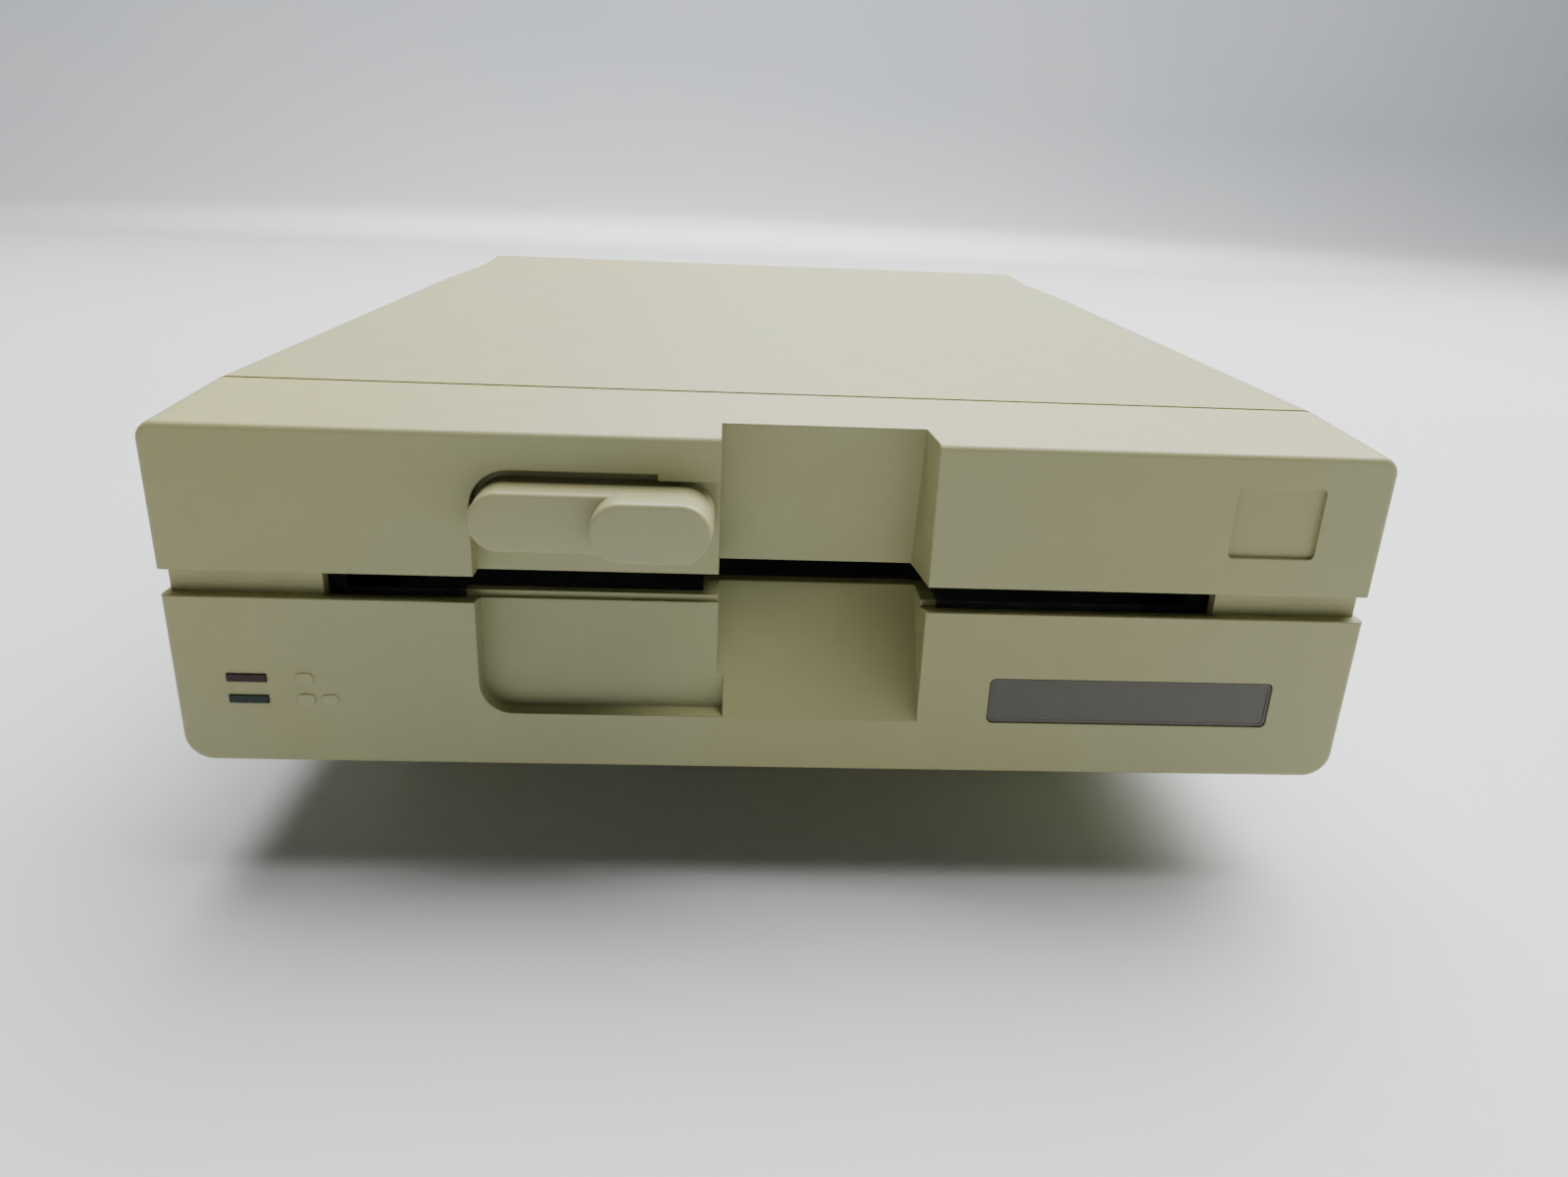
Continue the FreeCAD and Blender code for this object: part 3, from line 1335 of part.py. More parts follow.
def power_rocker():
    """Rocker: two flat faces that meet over the pivot, shown with its off side pressed."""
    z = socket_z()
    w = switch_width / 2 - 2.1
    h = switch_height / 2 - 1.5
    y = switch_pivot_y()
    rise = w * math.tan(math.radians(rocker_tilt))
    face_y = y + 2.6
    corners = [(switch_x - w, face_y + rise, 0.5), (switch_x, face_y, 0), (switch_x + w, face_y + rise, 0.5),
               (switch_x + w * 0.75, y - 2.0, 1.0), (switch_x - w * 0.75, y - 2.0, 1.0)]
    body = prism(corners, "xy", z - h, z + h)
    pin = rod(rocker_pin_r, (switch_x, y, z - h - 0.6), (switch_x, y, z + h + 0.6))
    rocker = body.fuse(pin)
    rocker.rotate(V(switch_x, y, z), V(0, 0, 1), rocker_tilt / 2)
    return rocker


def address_switch():
    """Two-way slide switch block in its window in the rear wall."""
    z = socket_z()
    w = address_width / 2
    h = address_height / 2
    rear = case_depth - wall
    body = box(address_x - w, address_x + w, case_depth - 9, rear - joint_gap, board_top_z(), z + h)
    nose = box(address_x - w, address_x + w, rear - 1, case_depth - 1.2, z - h, z + h)
    body = fuse([body, nose])
    channels = []
    reach = slider_width / 2 + slider_gap
    rise = (slider_length + slider_travel) / 2 + slider_gap
    floor_y = case_depth - slider_back - slider_gap
    for x in slider_xs():
        channels.append(box(x - reach, x + reach, floor_y, case_depth, z - rise, z + rise))
    return body.cut(channels)


def slider_xs():
    return (address_x - slider_pitch / 2, address_x + slider_pitch / 2)


def address_slider(x):
    low = socket_z() - (slider_length + slider_travel) / 2
    return box(x - slider_width / 2, x + slider_width / 2, case_depth - slider_back,
               case_depth - slider_front, low, low + slider_length)


def assembly():
    """Every node by name."""
    seat_z = frame_top_z + top_plate_thick
    board_z = board_top_z()
    low_slider, high_slider = slider_xs()
    serial_pins = (0, 60, 120, 180, 240)
    power_pins = (20, 75, 105, 160)
    return {
        "upper_case": upper_case(),
        "lower_case": lower_case(),
        "feet": [foot(x, y) for x, y in feet_at],
        "case_screws": [screw(x, y, case_screw_seat_z, case_screw_length) for x, y in case_screws_at],
        "name_plate": name_plate(),
        "red_window": window(red_window_z),
        "green_window": window(green_window_z),
        "indicator_leds": [led(red_window_z), led(green_window_z)],
        "led_board": led_board(),
        "lever_handle": lever_handle(),
        "lever_shaft": lever_shaft(),
        "clamp_cam": clamp_cam(),
        "drive_frame": drive_frame(),
        "top_plate": top_plate(),
        "top_plate_screws": [screw(x, y, seat_z, top_screw_length, up=False) for x, y in top_screws_at()],
        "disk_guide_left": disk_guide(-1),
        "disk_guide_right": disk_guide(1),
        "bracket_left": bracket(-1),
        "bracket_right": bracket(1),
        "bracket_screws": bracket_screws(),
        "spindle_bearings": spindle_bearings(),
        "spindle_shaft": spindle_shaft(),
        "spindle_hub": spindle_hub(),
        "rotor_plate": rotor_plate(),
        "rotor_magnet": rotor_magnet(),
        "motor_board": motor_board(),
        "motor_coils": motor_coils(),
        "clamp_arm": clamp_arm(),
        "hinge_pins": hinge_pins(),
        "arm_spring": arm_spring(),
        "clamp_cone": clamp_cone(),
        "cone_clip": cone_clip(),
        "guide_rods": guide_rods(),
        "head_carriage": head_carriage(),
        "lower_head": lower_head(),
        "steel_band": steel_band(),
        "pressure_arm": pressure_arm(),
        "upper_head": upper_head(),
        "arm_pin": arm_pin(),
        "stepper_motor": stepper_motor(),
        "stepper_pulley": stepper_pulley(),
        "index_sensor": sensor_block(15, 21, spindle_y - 21, spindle_y - 15),
        "protect_sensor": sensor_block(-61, -54, spindle_y + 6, spindle_y + 12),
        "track_zero_sensor": track_zero_sensor(),
        "drive_board": drive_board(),
        "main_board": main_board(),
        "board_screws": [screw(x, y, board_z, board_screw_length, up=False) for x, y in board_screws_at()],
        "integrated_circuits": integrated_circuits(),
        "capacitors": capacitors(),
        "crystal": crystal(),
        "board_headers": [board_header(*front_header), board_header(*rear_header)],
        "serial_socket_a": din_socket(serial_a_x, serial_pins, True),
        "serial_socket_b": din_socket(serial_b_x, serial_pins, True),
        "power_socket": din_socket(power_din_x, power_pins, False),
        "switch_housing": switch_housing(),
        "power_rocker": power_rocker(),
        "address_switch": address_switch(),
        "address_slider_1": address_slider(low_slider),
        "address_slider_2": address_slider(high_slider),
    }


def write():
    os.makedirs("parts", exist_ok=True)
    nodes = assembly()
    front = nodes["lever_handle"].BoundBox.YMin
    rear = max(nodes["power_rocker"].BoundBox.YMax, nodes["switch_housing"].BoundBox.YMax)
    print("front face at y", round(-(front + rear) / 2, 4))
    for name, made in nodes.items():
        shape = Part.makeCompound(made) if isinstance(made, list) else made
        shape = shape.copy()
        shape.translate(V(0, -(front + rear) / 2, 0))
        shape.exportStep("parts/" + name + ".step")
        state = "valid" if shape.isValid() else "BAD"
        print(name, len(shape.Solids), "solids", round(shape.Volume / 1000, 2), "cm3", state)


write()
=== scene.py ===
"""Looks of an external floppy disk drive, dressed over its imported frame."""

import math

import bmesh
import bpy
import numpy as np
from bpy.props import FloatProperty, FloatVectorProperty, IntProperty, PointerProperty
from mathutils import Matrix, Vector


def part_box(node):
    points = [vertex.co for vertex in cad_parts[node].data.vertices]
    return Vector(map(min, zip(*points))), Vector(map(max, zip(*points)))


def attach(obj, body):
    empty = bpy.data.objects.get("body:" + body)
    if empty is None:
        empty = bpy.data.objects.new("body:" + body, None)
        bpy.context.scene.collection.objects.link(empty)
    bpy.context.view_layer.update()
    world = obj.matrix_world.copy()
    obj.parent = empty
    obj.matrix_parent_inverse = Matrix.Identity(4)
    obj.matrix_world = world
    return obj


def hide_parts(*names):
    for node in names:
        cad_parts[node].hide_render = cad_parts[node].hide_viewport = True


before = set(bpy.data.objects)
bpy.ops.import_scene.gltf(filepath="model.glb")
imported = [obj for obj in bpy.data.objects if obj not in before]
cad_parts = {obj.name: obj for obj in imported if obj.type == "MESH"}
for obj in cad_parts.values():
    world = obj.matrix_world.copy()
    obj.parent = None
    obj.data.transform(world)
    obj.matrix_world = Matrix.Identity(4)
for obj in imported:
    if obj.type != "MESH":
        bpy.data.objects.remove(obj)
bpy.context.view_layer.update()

bl_info = {
    "name": "Floppy disk drive dresser",
    "version": (1, 0),
    "blender": (4, 5, 0),
    "location": "View3D > Sidebar > Drive",
    "description": "Finishes, small parts and stage for an external floppy disk drive",
    "category": "Object",
}

MM = 0.001
ROOT = "case"
FRONT_AXES = ((1, 0, 0), (0, 0, 1), (0, -1, 0))
UPRIGHT_AXES = ((1, 0, 0), (0, 1, 0), (0, 0, 1))

# Name plate and lamp marks
PLATE_CORNER_R = 0.9 * MM
PLATE_FIELD_DEPTH = 0.12 * MM
PLATE_RIM_DEPTH = 0.02 * MM
PLATE_EDGE = 0.08 * MM
PLATE_STEP = 0.06 * MM
MARK_SPACE = 0.9 * MM
MARK_ROUNDING = 0.12 * MM
MARK_SINK = 0.05 * MM

# Round sockets, from the rear face of the case
SOCKET_DROP = 10.0 * MM
SHIELD_OUTER_R = 7.25 * MM
SHIELD_INNER_R = 7.0 * MM
SHIELD_FRONT = 0.4 * MM
SHIELD_BACK = 6.9 * MM
CONTACT_RING_R = 3.5 * MM
CONTACT_FRONT = 1.2 * MM
CONTACT_CUP = 4.0 * MM
CONTACT_BACK = 6.5 * MM
SERIAL_CONTACTS = (0, 60, 120, 180, 240, None)
POWER_CONTACTS = (20, 75, 105, 160)

# Motor coils
COIL_COUNT = 6
COIL_R = 7.0 * MM
COIL_CORE_R = 3.1 * MM
COIL_MARGIN = 0.25 * MM
WIRE_R = 0.16 * MM
WIRE_DROP = 0.02 * MM
STEPS_PER_TURN = 20

# Pin headers: middle x, pins in a row, and how far the row stands from the two headers' middle
HEADERS = ((-40 * MM, 10, -1 * MM), (36 * MM, 5, 1 * MM))
PIN_PITCH = 2.54 * MM
PIN_HALF = 0.32 * MM
PIN_TIP_HALF = 0.16 * MM
PIN_SHOULDER = 5.0 * MM
PIN_LENGTH = 5.6 * MM
PIN_DEPTH = 7.0 * MM

# Camera: the place the photograph was taken from, solved from its edges
FOCAL_PX = 1157.6
IMAGE_WIDTH_PX = 1599.0
SENSOR_WIDTH = 36.0
CAMERA_YAW, CAMERA_PITCH, CAMERA_ROLL = 3.079, 20.936, 2.452
CAMERA_X = -7.8 * MM
CAMERA_AHEAD_OF_FRONT = 160.3 * MM
CAMERA_Z = 113.07 * MM

# Paper floor
FLOOR_FLAT_R = 2.0
FLOOR_CURVE_R = 1.2
FLOOR_DROP = 0.0002


def corner(node, which):
    """Lowest (0) or highest (1) corner of a node, as an array in metres."""
    return np.array(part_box(node)[which])


def middle(node):
    return (corner(node, 0) + corner(node, 1)) / 2


class Recipe:
    """One material: a Principled shader fed by patterns on Object coordinates."""

    def __init__(self, name):
        self.material = bpy.data.materials.new(name)
        self.material.use_nodes = True
        self.tree = self.material.node_tree
        self.shader = self.tree.nodes["Principled BSDF"]
        self.place = self.tree.nodes.new("ShaderNodeTexCoord").outputs["Object"]

    def link(self, output, socket):
        self.tree.links.new(output, socket)

    def value(self, socket, number):
        self.shader.inputs[socket].default_value = number

    def stretched(self, stretch):
        """Object coordinates scaled by a factor on each axis."""
        mapping = self.tree.nodes.new("ShaderNodeMapping")
        mapping.inputs["Scale"].default_value = stretch
        self.link(self.place, mapping.inputs["Vector"])
        return mapping.outputs["Vector"]

    def noise(self, scale, detail=3.0, stretch=None):
        node = self.tree.nodes.new("ShaderNodeTexNoise")
        node.inputs["Scale"].default_value = scale
        node.inputs["Detail"].default_value = detail
        self.link(self.stretched(stretch) if stretch else self.place, node.inputs["Vector"])
        return node.outputs["Fac"]

    def cells(self, scale, feature="F1"):
        node = self.tree.nodes.new("ShaderNodeTexVoronoi")
        node.feature = feature
        node.inputs["Scale"].default_value = scale
        self.link(self.place, node.inputs["Vector"])
        return node.outputs["Distance"]

    def rings(self, scale, direction, distortion, centre):
        """Rings about an axis through a centre."""
        node = self.tree.nodes.new("ShaderNodeTexWave")
        node.wave_type = "RINGS"
        node.rings_direction = direction
        node.inputs["Scale"].default_value = scale
        node.inputs["Distortion"].default_value = distortion
        mapping = self.tree.nodes.new("ShaderNodeMapping")
        mapping.inputs["Location"].default_value = [-c for c in centre]
        self.link(self.place, mapping.inputs["Vector"])
        self.link(mapping.outputs["Vector"], node.inputs["Vector"])
        return node.outputs["Fac"]

    def spread(self, source, low, high, out_low=0.0, out_high=1.0):
        """Map a source range onto another range, clamped."""
        node = self.tree.nodes.new("ShaderNodeMapRange")
        limits = {"From Min": low, "From Max": high, "To Min": out_low, "To Max": out_high}
        for socket, number in limits.items():
            node.inputs[socket].default_value = number
        self.link(source, node.inputs["Value"])
        return node.outputs["Result"]

    def blend(self, share, first, second):
        """Mix two colours (tuples or outputs) by a share."""
        node = self.tree.nodes.new("ShaderNodeMix")
        node.data_type = "RGBA"
        self.link(share, node.inputs["Factor"])
        for socket, colour in ((node.inputs[6], first), (node.inputs[7], second)):
            if isinstance(colour, tuple):
                socket.default_value = (*colour, 1.0)
            else:
                self.link(colour, socket)
        return node.outputs[2]

    def joined(self, operation, first, second):
        node = self.tree.nodes.new("ShaderNodeMath")
        node.operation = operation
        for socket, source in zip(node.inputs, (first, second)):
            if isinstance(source, (int, float)):
                socket.default_value = source
            else:
                self.link(source, socket)
        return node.outputs[0]

    def soft_edges(self, radius):
        """Normal that rounds sharp edges over a small radius."""
        node = self.tree.nodes.new("ShaderNodeBevel")
        node.samples = 4
        node.inputs["Radius"].default_value = radius
        return node.outputs["Normal"]

    def edge_share(self, rounded):
        """0 on flats, rising to 1 on edges, from how far the rounded normal leaves the true one."""
        geometry = self.tree.nodes.new("ShaderNodeNewGeometry")
        dot = self.tree.nodes.new("ShaderNodeVectorMath")
        dot.operation = "DOT_PRODUCT"
        self.link(rounded, dot.inputs[0])
        self.link(geometry.outputs["Normal"], dot.inputs[1])
        return self.spread(dot.outputs["Value"], 1.0, 0.8)

    def bump(self, height, strength, distance, normal=None):
        node = self.tree.nodes.new("ShaderNodeBump")
        node.inputs["Strength"].default_value = strength
        node.inputs["Distance"].default_value = distance
        self.link(height, node.inputs["Height"])
        if normal is not None:
            self.link(normal, node.inputs["Normal"])
        self.link(node.outputs["Normal"], self.shader.inputs["Normal"])

    def colour(self, source):
        self.link(source, self.shader.inputs["Base Color"])

    def roughness(self, source):
        self.link(source, self.shader.inputs["Roughness"])


def tint(colour, factor):
    return tuple(min(1.0, c * f) for c, f in zip(colour, factor))


def moulded_plastic(name, colour, grain=1500.0, rough=0.46, edge=0.35, edge_highlight=0.5):
    """Satin moulded plastic: spark grain, a slow drift of tone and a painted highlight that makes rounded
    edges paler.
    """
    made = Recipe(name)
    warm = tint(colour, (1.03, 1.0, 0.88))
    cool = tint(colour, (0.97, 0.985, 1.0))
    drift = made.spread(made.noise(14.0, 2.0), 0.35, 0.65)
    base = made.blend(drift, cool, warm)
    speck = made.spread(made.noise(grain * 0.6, 2.0), 0.3, 0.7, 0.0, 0.1)
    base = made.blend(speck, base, tint(colour, (0.8, 0.79, 0.75)))
    rounded = made.soft_edges(edge * MM)
    # Painted highlight: edges are mixed towards a paler colour where light would catch their rounding; the
    # last argument sets how strongly.
    share = made.joined("MULTIPLY", made.edge_share(rounded), edge_highlight)
    base = made.blend(share, base, tint(colour, (1.12, 1.11, 1.08)))
    made.colour(base)
    made.roughness(made.spread(made.noise(220.0, 4.0), 0.3, 0.7, rough - 0.05, rough + 0.07))
    made.value("Specular IOR Level", 0.45)
    pits = made.cells(grain)
    made.bump(pits, 0.16, 0.00004, rounded)
    return made.material


def sheet_metal(name, colour, rough=0.34, direction=(1.0, 30.0, 30.0)):
    """Rolled or plated sheet: fine lines one way, cloudy plating and dull smudges."""
    made = Recipe(name)
    lines = made.noise(420.0, 4.0, direction)
    cloud = made.noise(60.0, 3.0)
    base = made.blend(made.spread(cloud, 0.35, 0.65), colour, tint(colour, (0.82, 0.84, 0.8)))
    base = made.blend(made.spread(lines, 0.4, 0.6, 0.0, 0.3), base, tint(colour, (1.15, 1.15, 1.15)))
    made.colour(base)
    made.value("Metallic", 0.95)
    made.roughness(made.spread(cloud, 0.3, 0.7, rough - 0.07, rough + 0.12))
    made.bump(lines, 0.2, 0.00003, made.soft_edges(0.2 * MM))
    return made.material


def cast_metal(name, colour):
    """Pressure casting: matte skin with fine pits and flow marks."""
    made = Recipe(name)
    skin = made.noise(900.0, 5.0)
    flow = made.noise(35.0, 4.0, (1.0, 3.0, 1.0))
    base = made.blend(made.spread(flow, 0.35, 0.65), colour, tint(colour, (0.8, 0.8, 0.82)))
    made.colour(base)
    made.value("Metallic", 0.85)
    made.roughness(made.spread(skin, 0.3, 0.7, 0.5, 0.68))
    made.bump(skin, 0.35, 0.00008, made.soft_edges(0.4 * MM))
    return made.material


def turned_metal(name, colour, centre, direction="Z"):
    """Lathe-turned metal: fine tool rings about the piece's own axis."""
    made = Recipe(name)
    rings = made.rings(650.0, direction, 0.4, centre)
    cloud = made.noise(120.0, 3.0)
    base = made.blend(made.spread(rings, 0.3, 0.7, 0.0, 0.5), colour, tint(colour, (0.78, 0.78, 0.78)))
    made.colour(base)
    made.value("Metallic", 1.0)
    made.roughness(made.spread(cloud, 0.3, 0.7, 0.2, 0.34))
    made.bump(rings, 0.12, 0.00003)
    return made.material


def rubber(name, colour):
    made = Recipe(name)
    dust = made.spread(made.noise(160.0, 5.0), 0.45, 0.75)
    made.colour(made.blend(dust, colour, tint(colour, (2.4, 2.3, 2.1))))
    made.roughness(made.spread(made.noise(500.0), 0.3, 0.7, 0.72, 0.88))
    made.bump(made.noise(1400.0, 3.0), 0.3, 0.00006, made.soft_edges(0.3 * MM))
    return made.material


def lamp_lens(name, colour):
    """Tinted light pipe: deep colour, clear gloss and faint inner haze."""
    made = Recipe(name)
    haze = made.spread(made.noise(700.0, 2.0), 0.35, 0.65)
    made.colour(made.blend(haze, colour, tint(colour, (0.55, 0.6, 0.6))))
    made.value("Specular IOR Level", 0.25)
    made.value("Transmission Weight", 0.1)
    made.roughness(made.spread(made.noise(300.0), 0.3, 0.7, 0.18, 0.3))
    made.bump(made.noise(900.0), 0.05, 0.00003, made.soft_edges(0.12 * MM))
    return made.material


def plate_finish(name, colour):
    """Bare name plate: brushed along its length under a satin lacquer."""
    made = Recipe(name)
    lines = made.noise(500.0, 5.0, (1.0, 1.0, 26.0))
    drift = made.noise(90.0, 2.0)
    base = made.blend(made.spread(lines, 0.35, 0.65), colour, tint(colour, (1.28, 1.27, 1.26)))
    base = made.blend(made.spread(drift, 0.35, 0.65, 0.0, 0.25), base, tint(colour, (0.8, 0.78, 0.76)))
    made.colour(base)
    made.value("Metallic", 0.35)
    made.value("Coat Weight", 0.15)
    made.roughness(made.spread(lines, 0.3, 0.7, 0.36, 0.5))
    made.bump(lines, 0.12, 0.00002)
    return made.material


def circuit_board(name, colour):
    """Solder resist over copper: traces show as a raised, paler net with pads."""
    made = Recipe(name)
    net = made.spread(made.cells(160.0, "DISTANCE_TO_EDGE"), 0.0, 0.05, 1.0, 0.0)
    pads = made.spread(made.cells(394.0), 0.12, 0.16, 1.0, 0.0)
    weave = made.noise(1200.0, 2.0)
    base = made.blend(made.joined("MULTIPLY", net, 0.6), colour, tint(colour, (1.9, 1.5, 1.6)))
    base = made.blend(made.joined("MULTIPLY", pads, 0.5), base, (0.62, 0.6, 0.52))
    made.colour(base)
    made.roughness(made.spread(weave, 0.3, 0.7, 0.28, 0.42))
    made.bump(made.joined("ADD", net, pads), 0.3, 0.00005)
    return made.material


def winding(name, colour):
    """Enamelled copper wire, one turn beside the next."""
    made = Recipe(name)
    made.colour(made.blend(made.noise(900.0), colour, tint(colour, (1.3, 1.1, 0.9))))
    made.value("Metallic", 0.9)
    made.value("Coat Weight", 0.5)
    made.roughness(made.spread(made.noise(400.0), 0.3, 0.7, 0.22, 0.34))
    made.bump(made.noise(2400.0), 0.1, 0.00002)
    return made.material


def ferrite(name, colour):
    made = Recipe(name)
    grain = made.cells(1600.0)
    made.colour(made.blend(made.spread(grain, 0.0, 0.6), colour, tint(colour, (1.5, 1.45, 1.4))))
    made.roughness(made.spread(made.noise(300.0), 0.3, 0.7, 0.5, 0.7))
    made.bump(grain, 0.25, 0.00004, made.soft_edges(0.2 * MM))
    return made.material


def gloss_plastic(name, colour, rough=0.22):
    made = Recipe(name)
    fine = made.noise(260.0, 3.0)
    made.colour(made.blend(made.spread(fine, 0.35, 0.65), colour, tint(colour, (0.86, 0.86, 0.86))))
    made.roughness(made.spread(made.noise(140.0, 4.0), 0.3, 0.7, rough - 0.04, rough + 0.08))
    made.bump(made.noise(1100.0), 0.06, 0.00002, made.soft_edges(0.25 * MM))
    return made.material


def floor_paper(name, colour):
    made = Recipe(name)
    fibre = made.noise(260.0, 5.0)
    tone = made.noise(3.0, 2.0)
    base = made.blend(made.spread(tone, 0.35, 0.65), colour, tint(colour, (0.965, 0.975, 0.985)))
    made.colour(base)
    made.roughness(made.spread(fibre, 0.3, 0.7, 0.5, 0.62))
    made.bump(fibre, 0.05, 0.0001)
    return made.material


def dress(nodes, material):
    """Give CAD nodes a material, in place of their plain ones."""
    for name in nodes:
        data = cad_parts[name].data
        data.materials.clear()
        data.materials.append(material)


def mesh_from_grid(name, points):
    """Closed mesh from a grid of points, each row a closed ring; a row may shrink to one point."""
    rows, columns = points.shape[:2]
    index = np.arange(rows * columns).reshape(rows, columns)
    right = np.roll(index, -1, axis=1)
    faces = np.stack([index[:-1], right[:-1], right[1:], index[1:]], axis=-1).reshape(-1, 4)
    data = bpy.data.meshes.new(name)
    data.vertices.add(rows * columns)
    data.vertices.foreach_set("co", points.reshape(-1).astype(np.float32))
    data.loops.add(faces.size)
    data.loops.foreach_set("vertex_index", faces.reshape(-1).astype(np.int32))
    data.polygons.add(len(faces))
    data.polygons.foreach_set("loop_start", np.arange(0, faces.size, 4, dtype=np.int32))
    data.update(calc_edges=True)
    tidy = bmesh.new()
    tidy.from_mesh(data)
    bmesh.ops.remove_doubles(tidy, verts=tidy.verts, dist=1e-7)
    bmesh.ops.recalc_face_normals(tidy, faces=tidy.faces)
    tidy.to_mesh(data)
    tidy.free()
    return data


def piece(name, datas, material, body, smooth=40.0):
    """Join mesh data into one object at the origin that rides on a body."""
    joined = bmesh.new()
    for data in datas:
        joined.from_mesh(data)
    mesh = bpy.data.meshes.new(name)
    joined.to_mesh(mesh)
    joined.free()
    mesh.polygons.foreach_set("use_smooth", np.ones(len(mesh.polygons), dtype=bool))
    mesh.set_sharp_from_angle(angle=math.radians(smooth))
    mesh.materials.append(material)
    made = bpy.data.objects.new(name, mesh)
    bpy.context.scene.collection.objects.link(made)
    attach(made, body)
    return made


def rounded_ring(half_u, half_v, r, steps):
    """Rounded rectangle about zero: a quarter circle of radius r at each corner of the inner one."""
    quarter = np.linspace(0.0, math.pi / 2, steps)
    angle = (quarter[None, :] + np.arange(4)[:, None] * math.pi / 2).reshape(-1)
    sign_u = np.repeat([1.0, -1.0, -1.0, 1.0], steps)
    sign_v = np.repeat([1.0, 1.0, -1.0, -1.0], steps)
    u = sign_u * (half_u - r) + r * np.cos(angle)
    v = sign_v * (half_v - r) + r * np.sin(angle)
    return u, v


def lofted(name, rows, centre, axes, steps=8):
    """Closed pad: each row (half u, half v, corner radius, height) is a rounded rectangle at its height,
    and the two ends close on the middle."""
    axis_u, axis_v, axis_n = (np.array(a, float) for a in axes)
    first = (0.0, 0.0, 0.0, rows[0][3])
    last = (0.0, 0.0, 0.0, rows[-1][3])
    grid = []
    for half_u, half_v, r, height in [first, *rows, last]:
        u, v = rounded_ring(half_u, half_v, r, steps)
        grid.append(centre + u[:, None] * axis_u + v[:, None] * axis_v + height * axis_n)
    return mesh_from_grid(name, np.array(grid))


def turned(name, profile, centre, axis, steps=48, closed=False):
    """Surface of revolution: the profile (radius, height) swept round the axis; closed joins its ends."""
    axis = np.array(axis, float)
    side = np.cross(axis, (0.31, 0.52, 0.79))
    side /= np.linalg.norm(side)
    other = np.cross(axis, side)
    angle = np.linspace(0.0, 2 * math.pi, steps, endpoint=False)
    profile = np.array(list(profile) + ([profile[0]] if closed else []), float)
    spokes = np.cos(angle)[:, None] * side + np.sin(angle)[:, None] * other
    grid = centre + profile[:, 0, None, None] * spokes[None] + profile[:, 1, None, None] * axis
    return mesh_from_grid(name, grid)


def tube(name, path, r, steps=8):
    """Closed tube of radius r along an open path of points, by a frame that turns with the path."""
    along = np.gradient(path, axis=0)
    along /= np.linalg.norm(along, axis=1)[:, None]
    side = np.cross(along, (0.0, 0.0, 1.0))
    flat = np.linalg.norm(side, axis=1) < 1e-6
    side[flat] = (1.0, 0.0, 0.0)
    side /= np.linalg.norm(side, axis=1)[:, None]
    other = np.cross(along, side)
    angle = np.linspace(0.0, 2 * math.pi, steps, endpoint=False)
    cos, sin = np.cos(angle)[None, :, None], np.sin(angle)[None, :, None]
    ring = r * (cos * side[:, None] + sin * other[:, None])
    grid = path[:, None] + ring
    first = np.repeat(path[:1, None], steps, axis=1)
    last = np.repeat(path[-1:, None], steps, axis=1)
    return mesh_from_grid(name, np.concatenate([first, grid, last]))


def crowned(half_u, half_v, r, height, round_off, sink):
    """Rows of a flat-topped pad whose upper rim is rounded by a quarter circle, with a sunk base."""
    turn = np.linspace(0.0, math.pi / 2, 5)
    rows = [(half_u, half_v, r, -sink)]
    for a in turn:
        inset = round_off * (1 - math.cos(a))
        level = height - round_off * (1 - math.sin(a))
        rows.append((half_u - inset, half_v - inset, max(r - inset, 1e-6), level))
    return rows


def colour_setting(name, description, default):
    return FloatVectorProperty(name=name, description=description, subtype="COLOR", default=default,
                               min=0.0, max=1.0)


def length_setting(name, description, default):
    return FloatProperty(name=name, description=description, subtype="DISTANCE", default=default)


def power_setting(name, description, default):
    return FloatProperty(name=name, description=description, default=default, min=0.0)


class CaseLook(bpy.types.PropertyGroup):
    shell: colour_setting("Shell", "Colour of the two case halves", (0.33, 0.33, 0.17))
    lever: colour_setting("Lever", "Colour of the lever", (0.34, 0.335, 0.18))
    plate: colour_setting("Plate", "Colour of the bare name plate", (0.06, 0.058, 0.045))
    red: colour_setting("Red lamp", "Colour of the upper lamp window", (0.03, 0.0015, 0.0015))
    green: colour_setting("Green lamp", "Colour of the lower lamp window", (0.0015, 0.022, 0.008))
    grain: FloatProperty(name="Grain", description="Cells of moulded grain to the metre", default=1500.0,
                         min=100.0)


class SmallParts(bpy.types.PropertyGroup):
    mark_height: length_setting("Mark height", "Height of the raised lamp marks", 0.0019)
    mark_length: length_setting("Mark length", "Length of one raised mark", 0.0026)
    mark_rise: length_setting("Mark rise", "How far the marks stand out", 0.00024)
    mark_gap: length_setting("Mark gap", "Space between the window and its marks", 0.0036)
    plate_rim: length_setting("Plate rim", "Width of the name plate's raised rim", 0.00045)
    pin_r: length_setting("Contact radius", "Radius of a socket contact", 0.0006)
    wire_turns: IntProperty(name="Coil turns", description="Visible turns of each motor coil", default=9,
                            min=3)


class LeverShape(bpy.types.PropertyGroup):
    height: length_setting("Height", "Height of the bar and of its knob", 0.0095)
    bar_front: length_setting("Bar depth", "How far the bar's face stands behind the knob's", 0.00375)
    knob_length: length_setting("Knob length", "Length of the raised thumb knob", 0.0177)
    rim: length_setting("Rim", "Radius of the rounded front rims", 0.0007)
    draft: length_setting("Draft", "How much the lever narrows from its back to its front", 0.0002)


class StageLook(bpy.types.PropertyGroup):
    floor: colour_setting("Floor", "Colour of the paper floor", (0.66, 0.67, 0.69))
    key: power_setting("Key light", "Power in watts of the soft box overhead", 90.0)
    wall: power_setting("Wall light", "Power in watts of the light on the far wall", 40.0)
    air: power_setting("Sky", "Strength of the even light all round", 0.05)


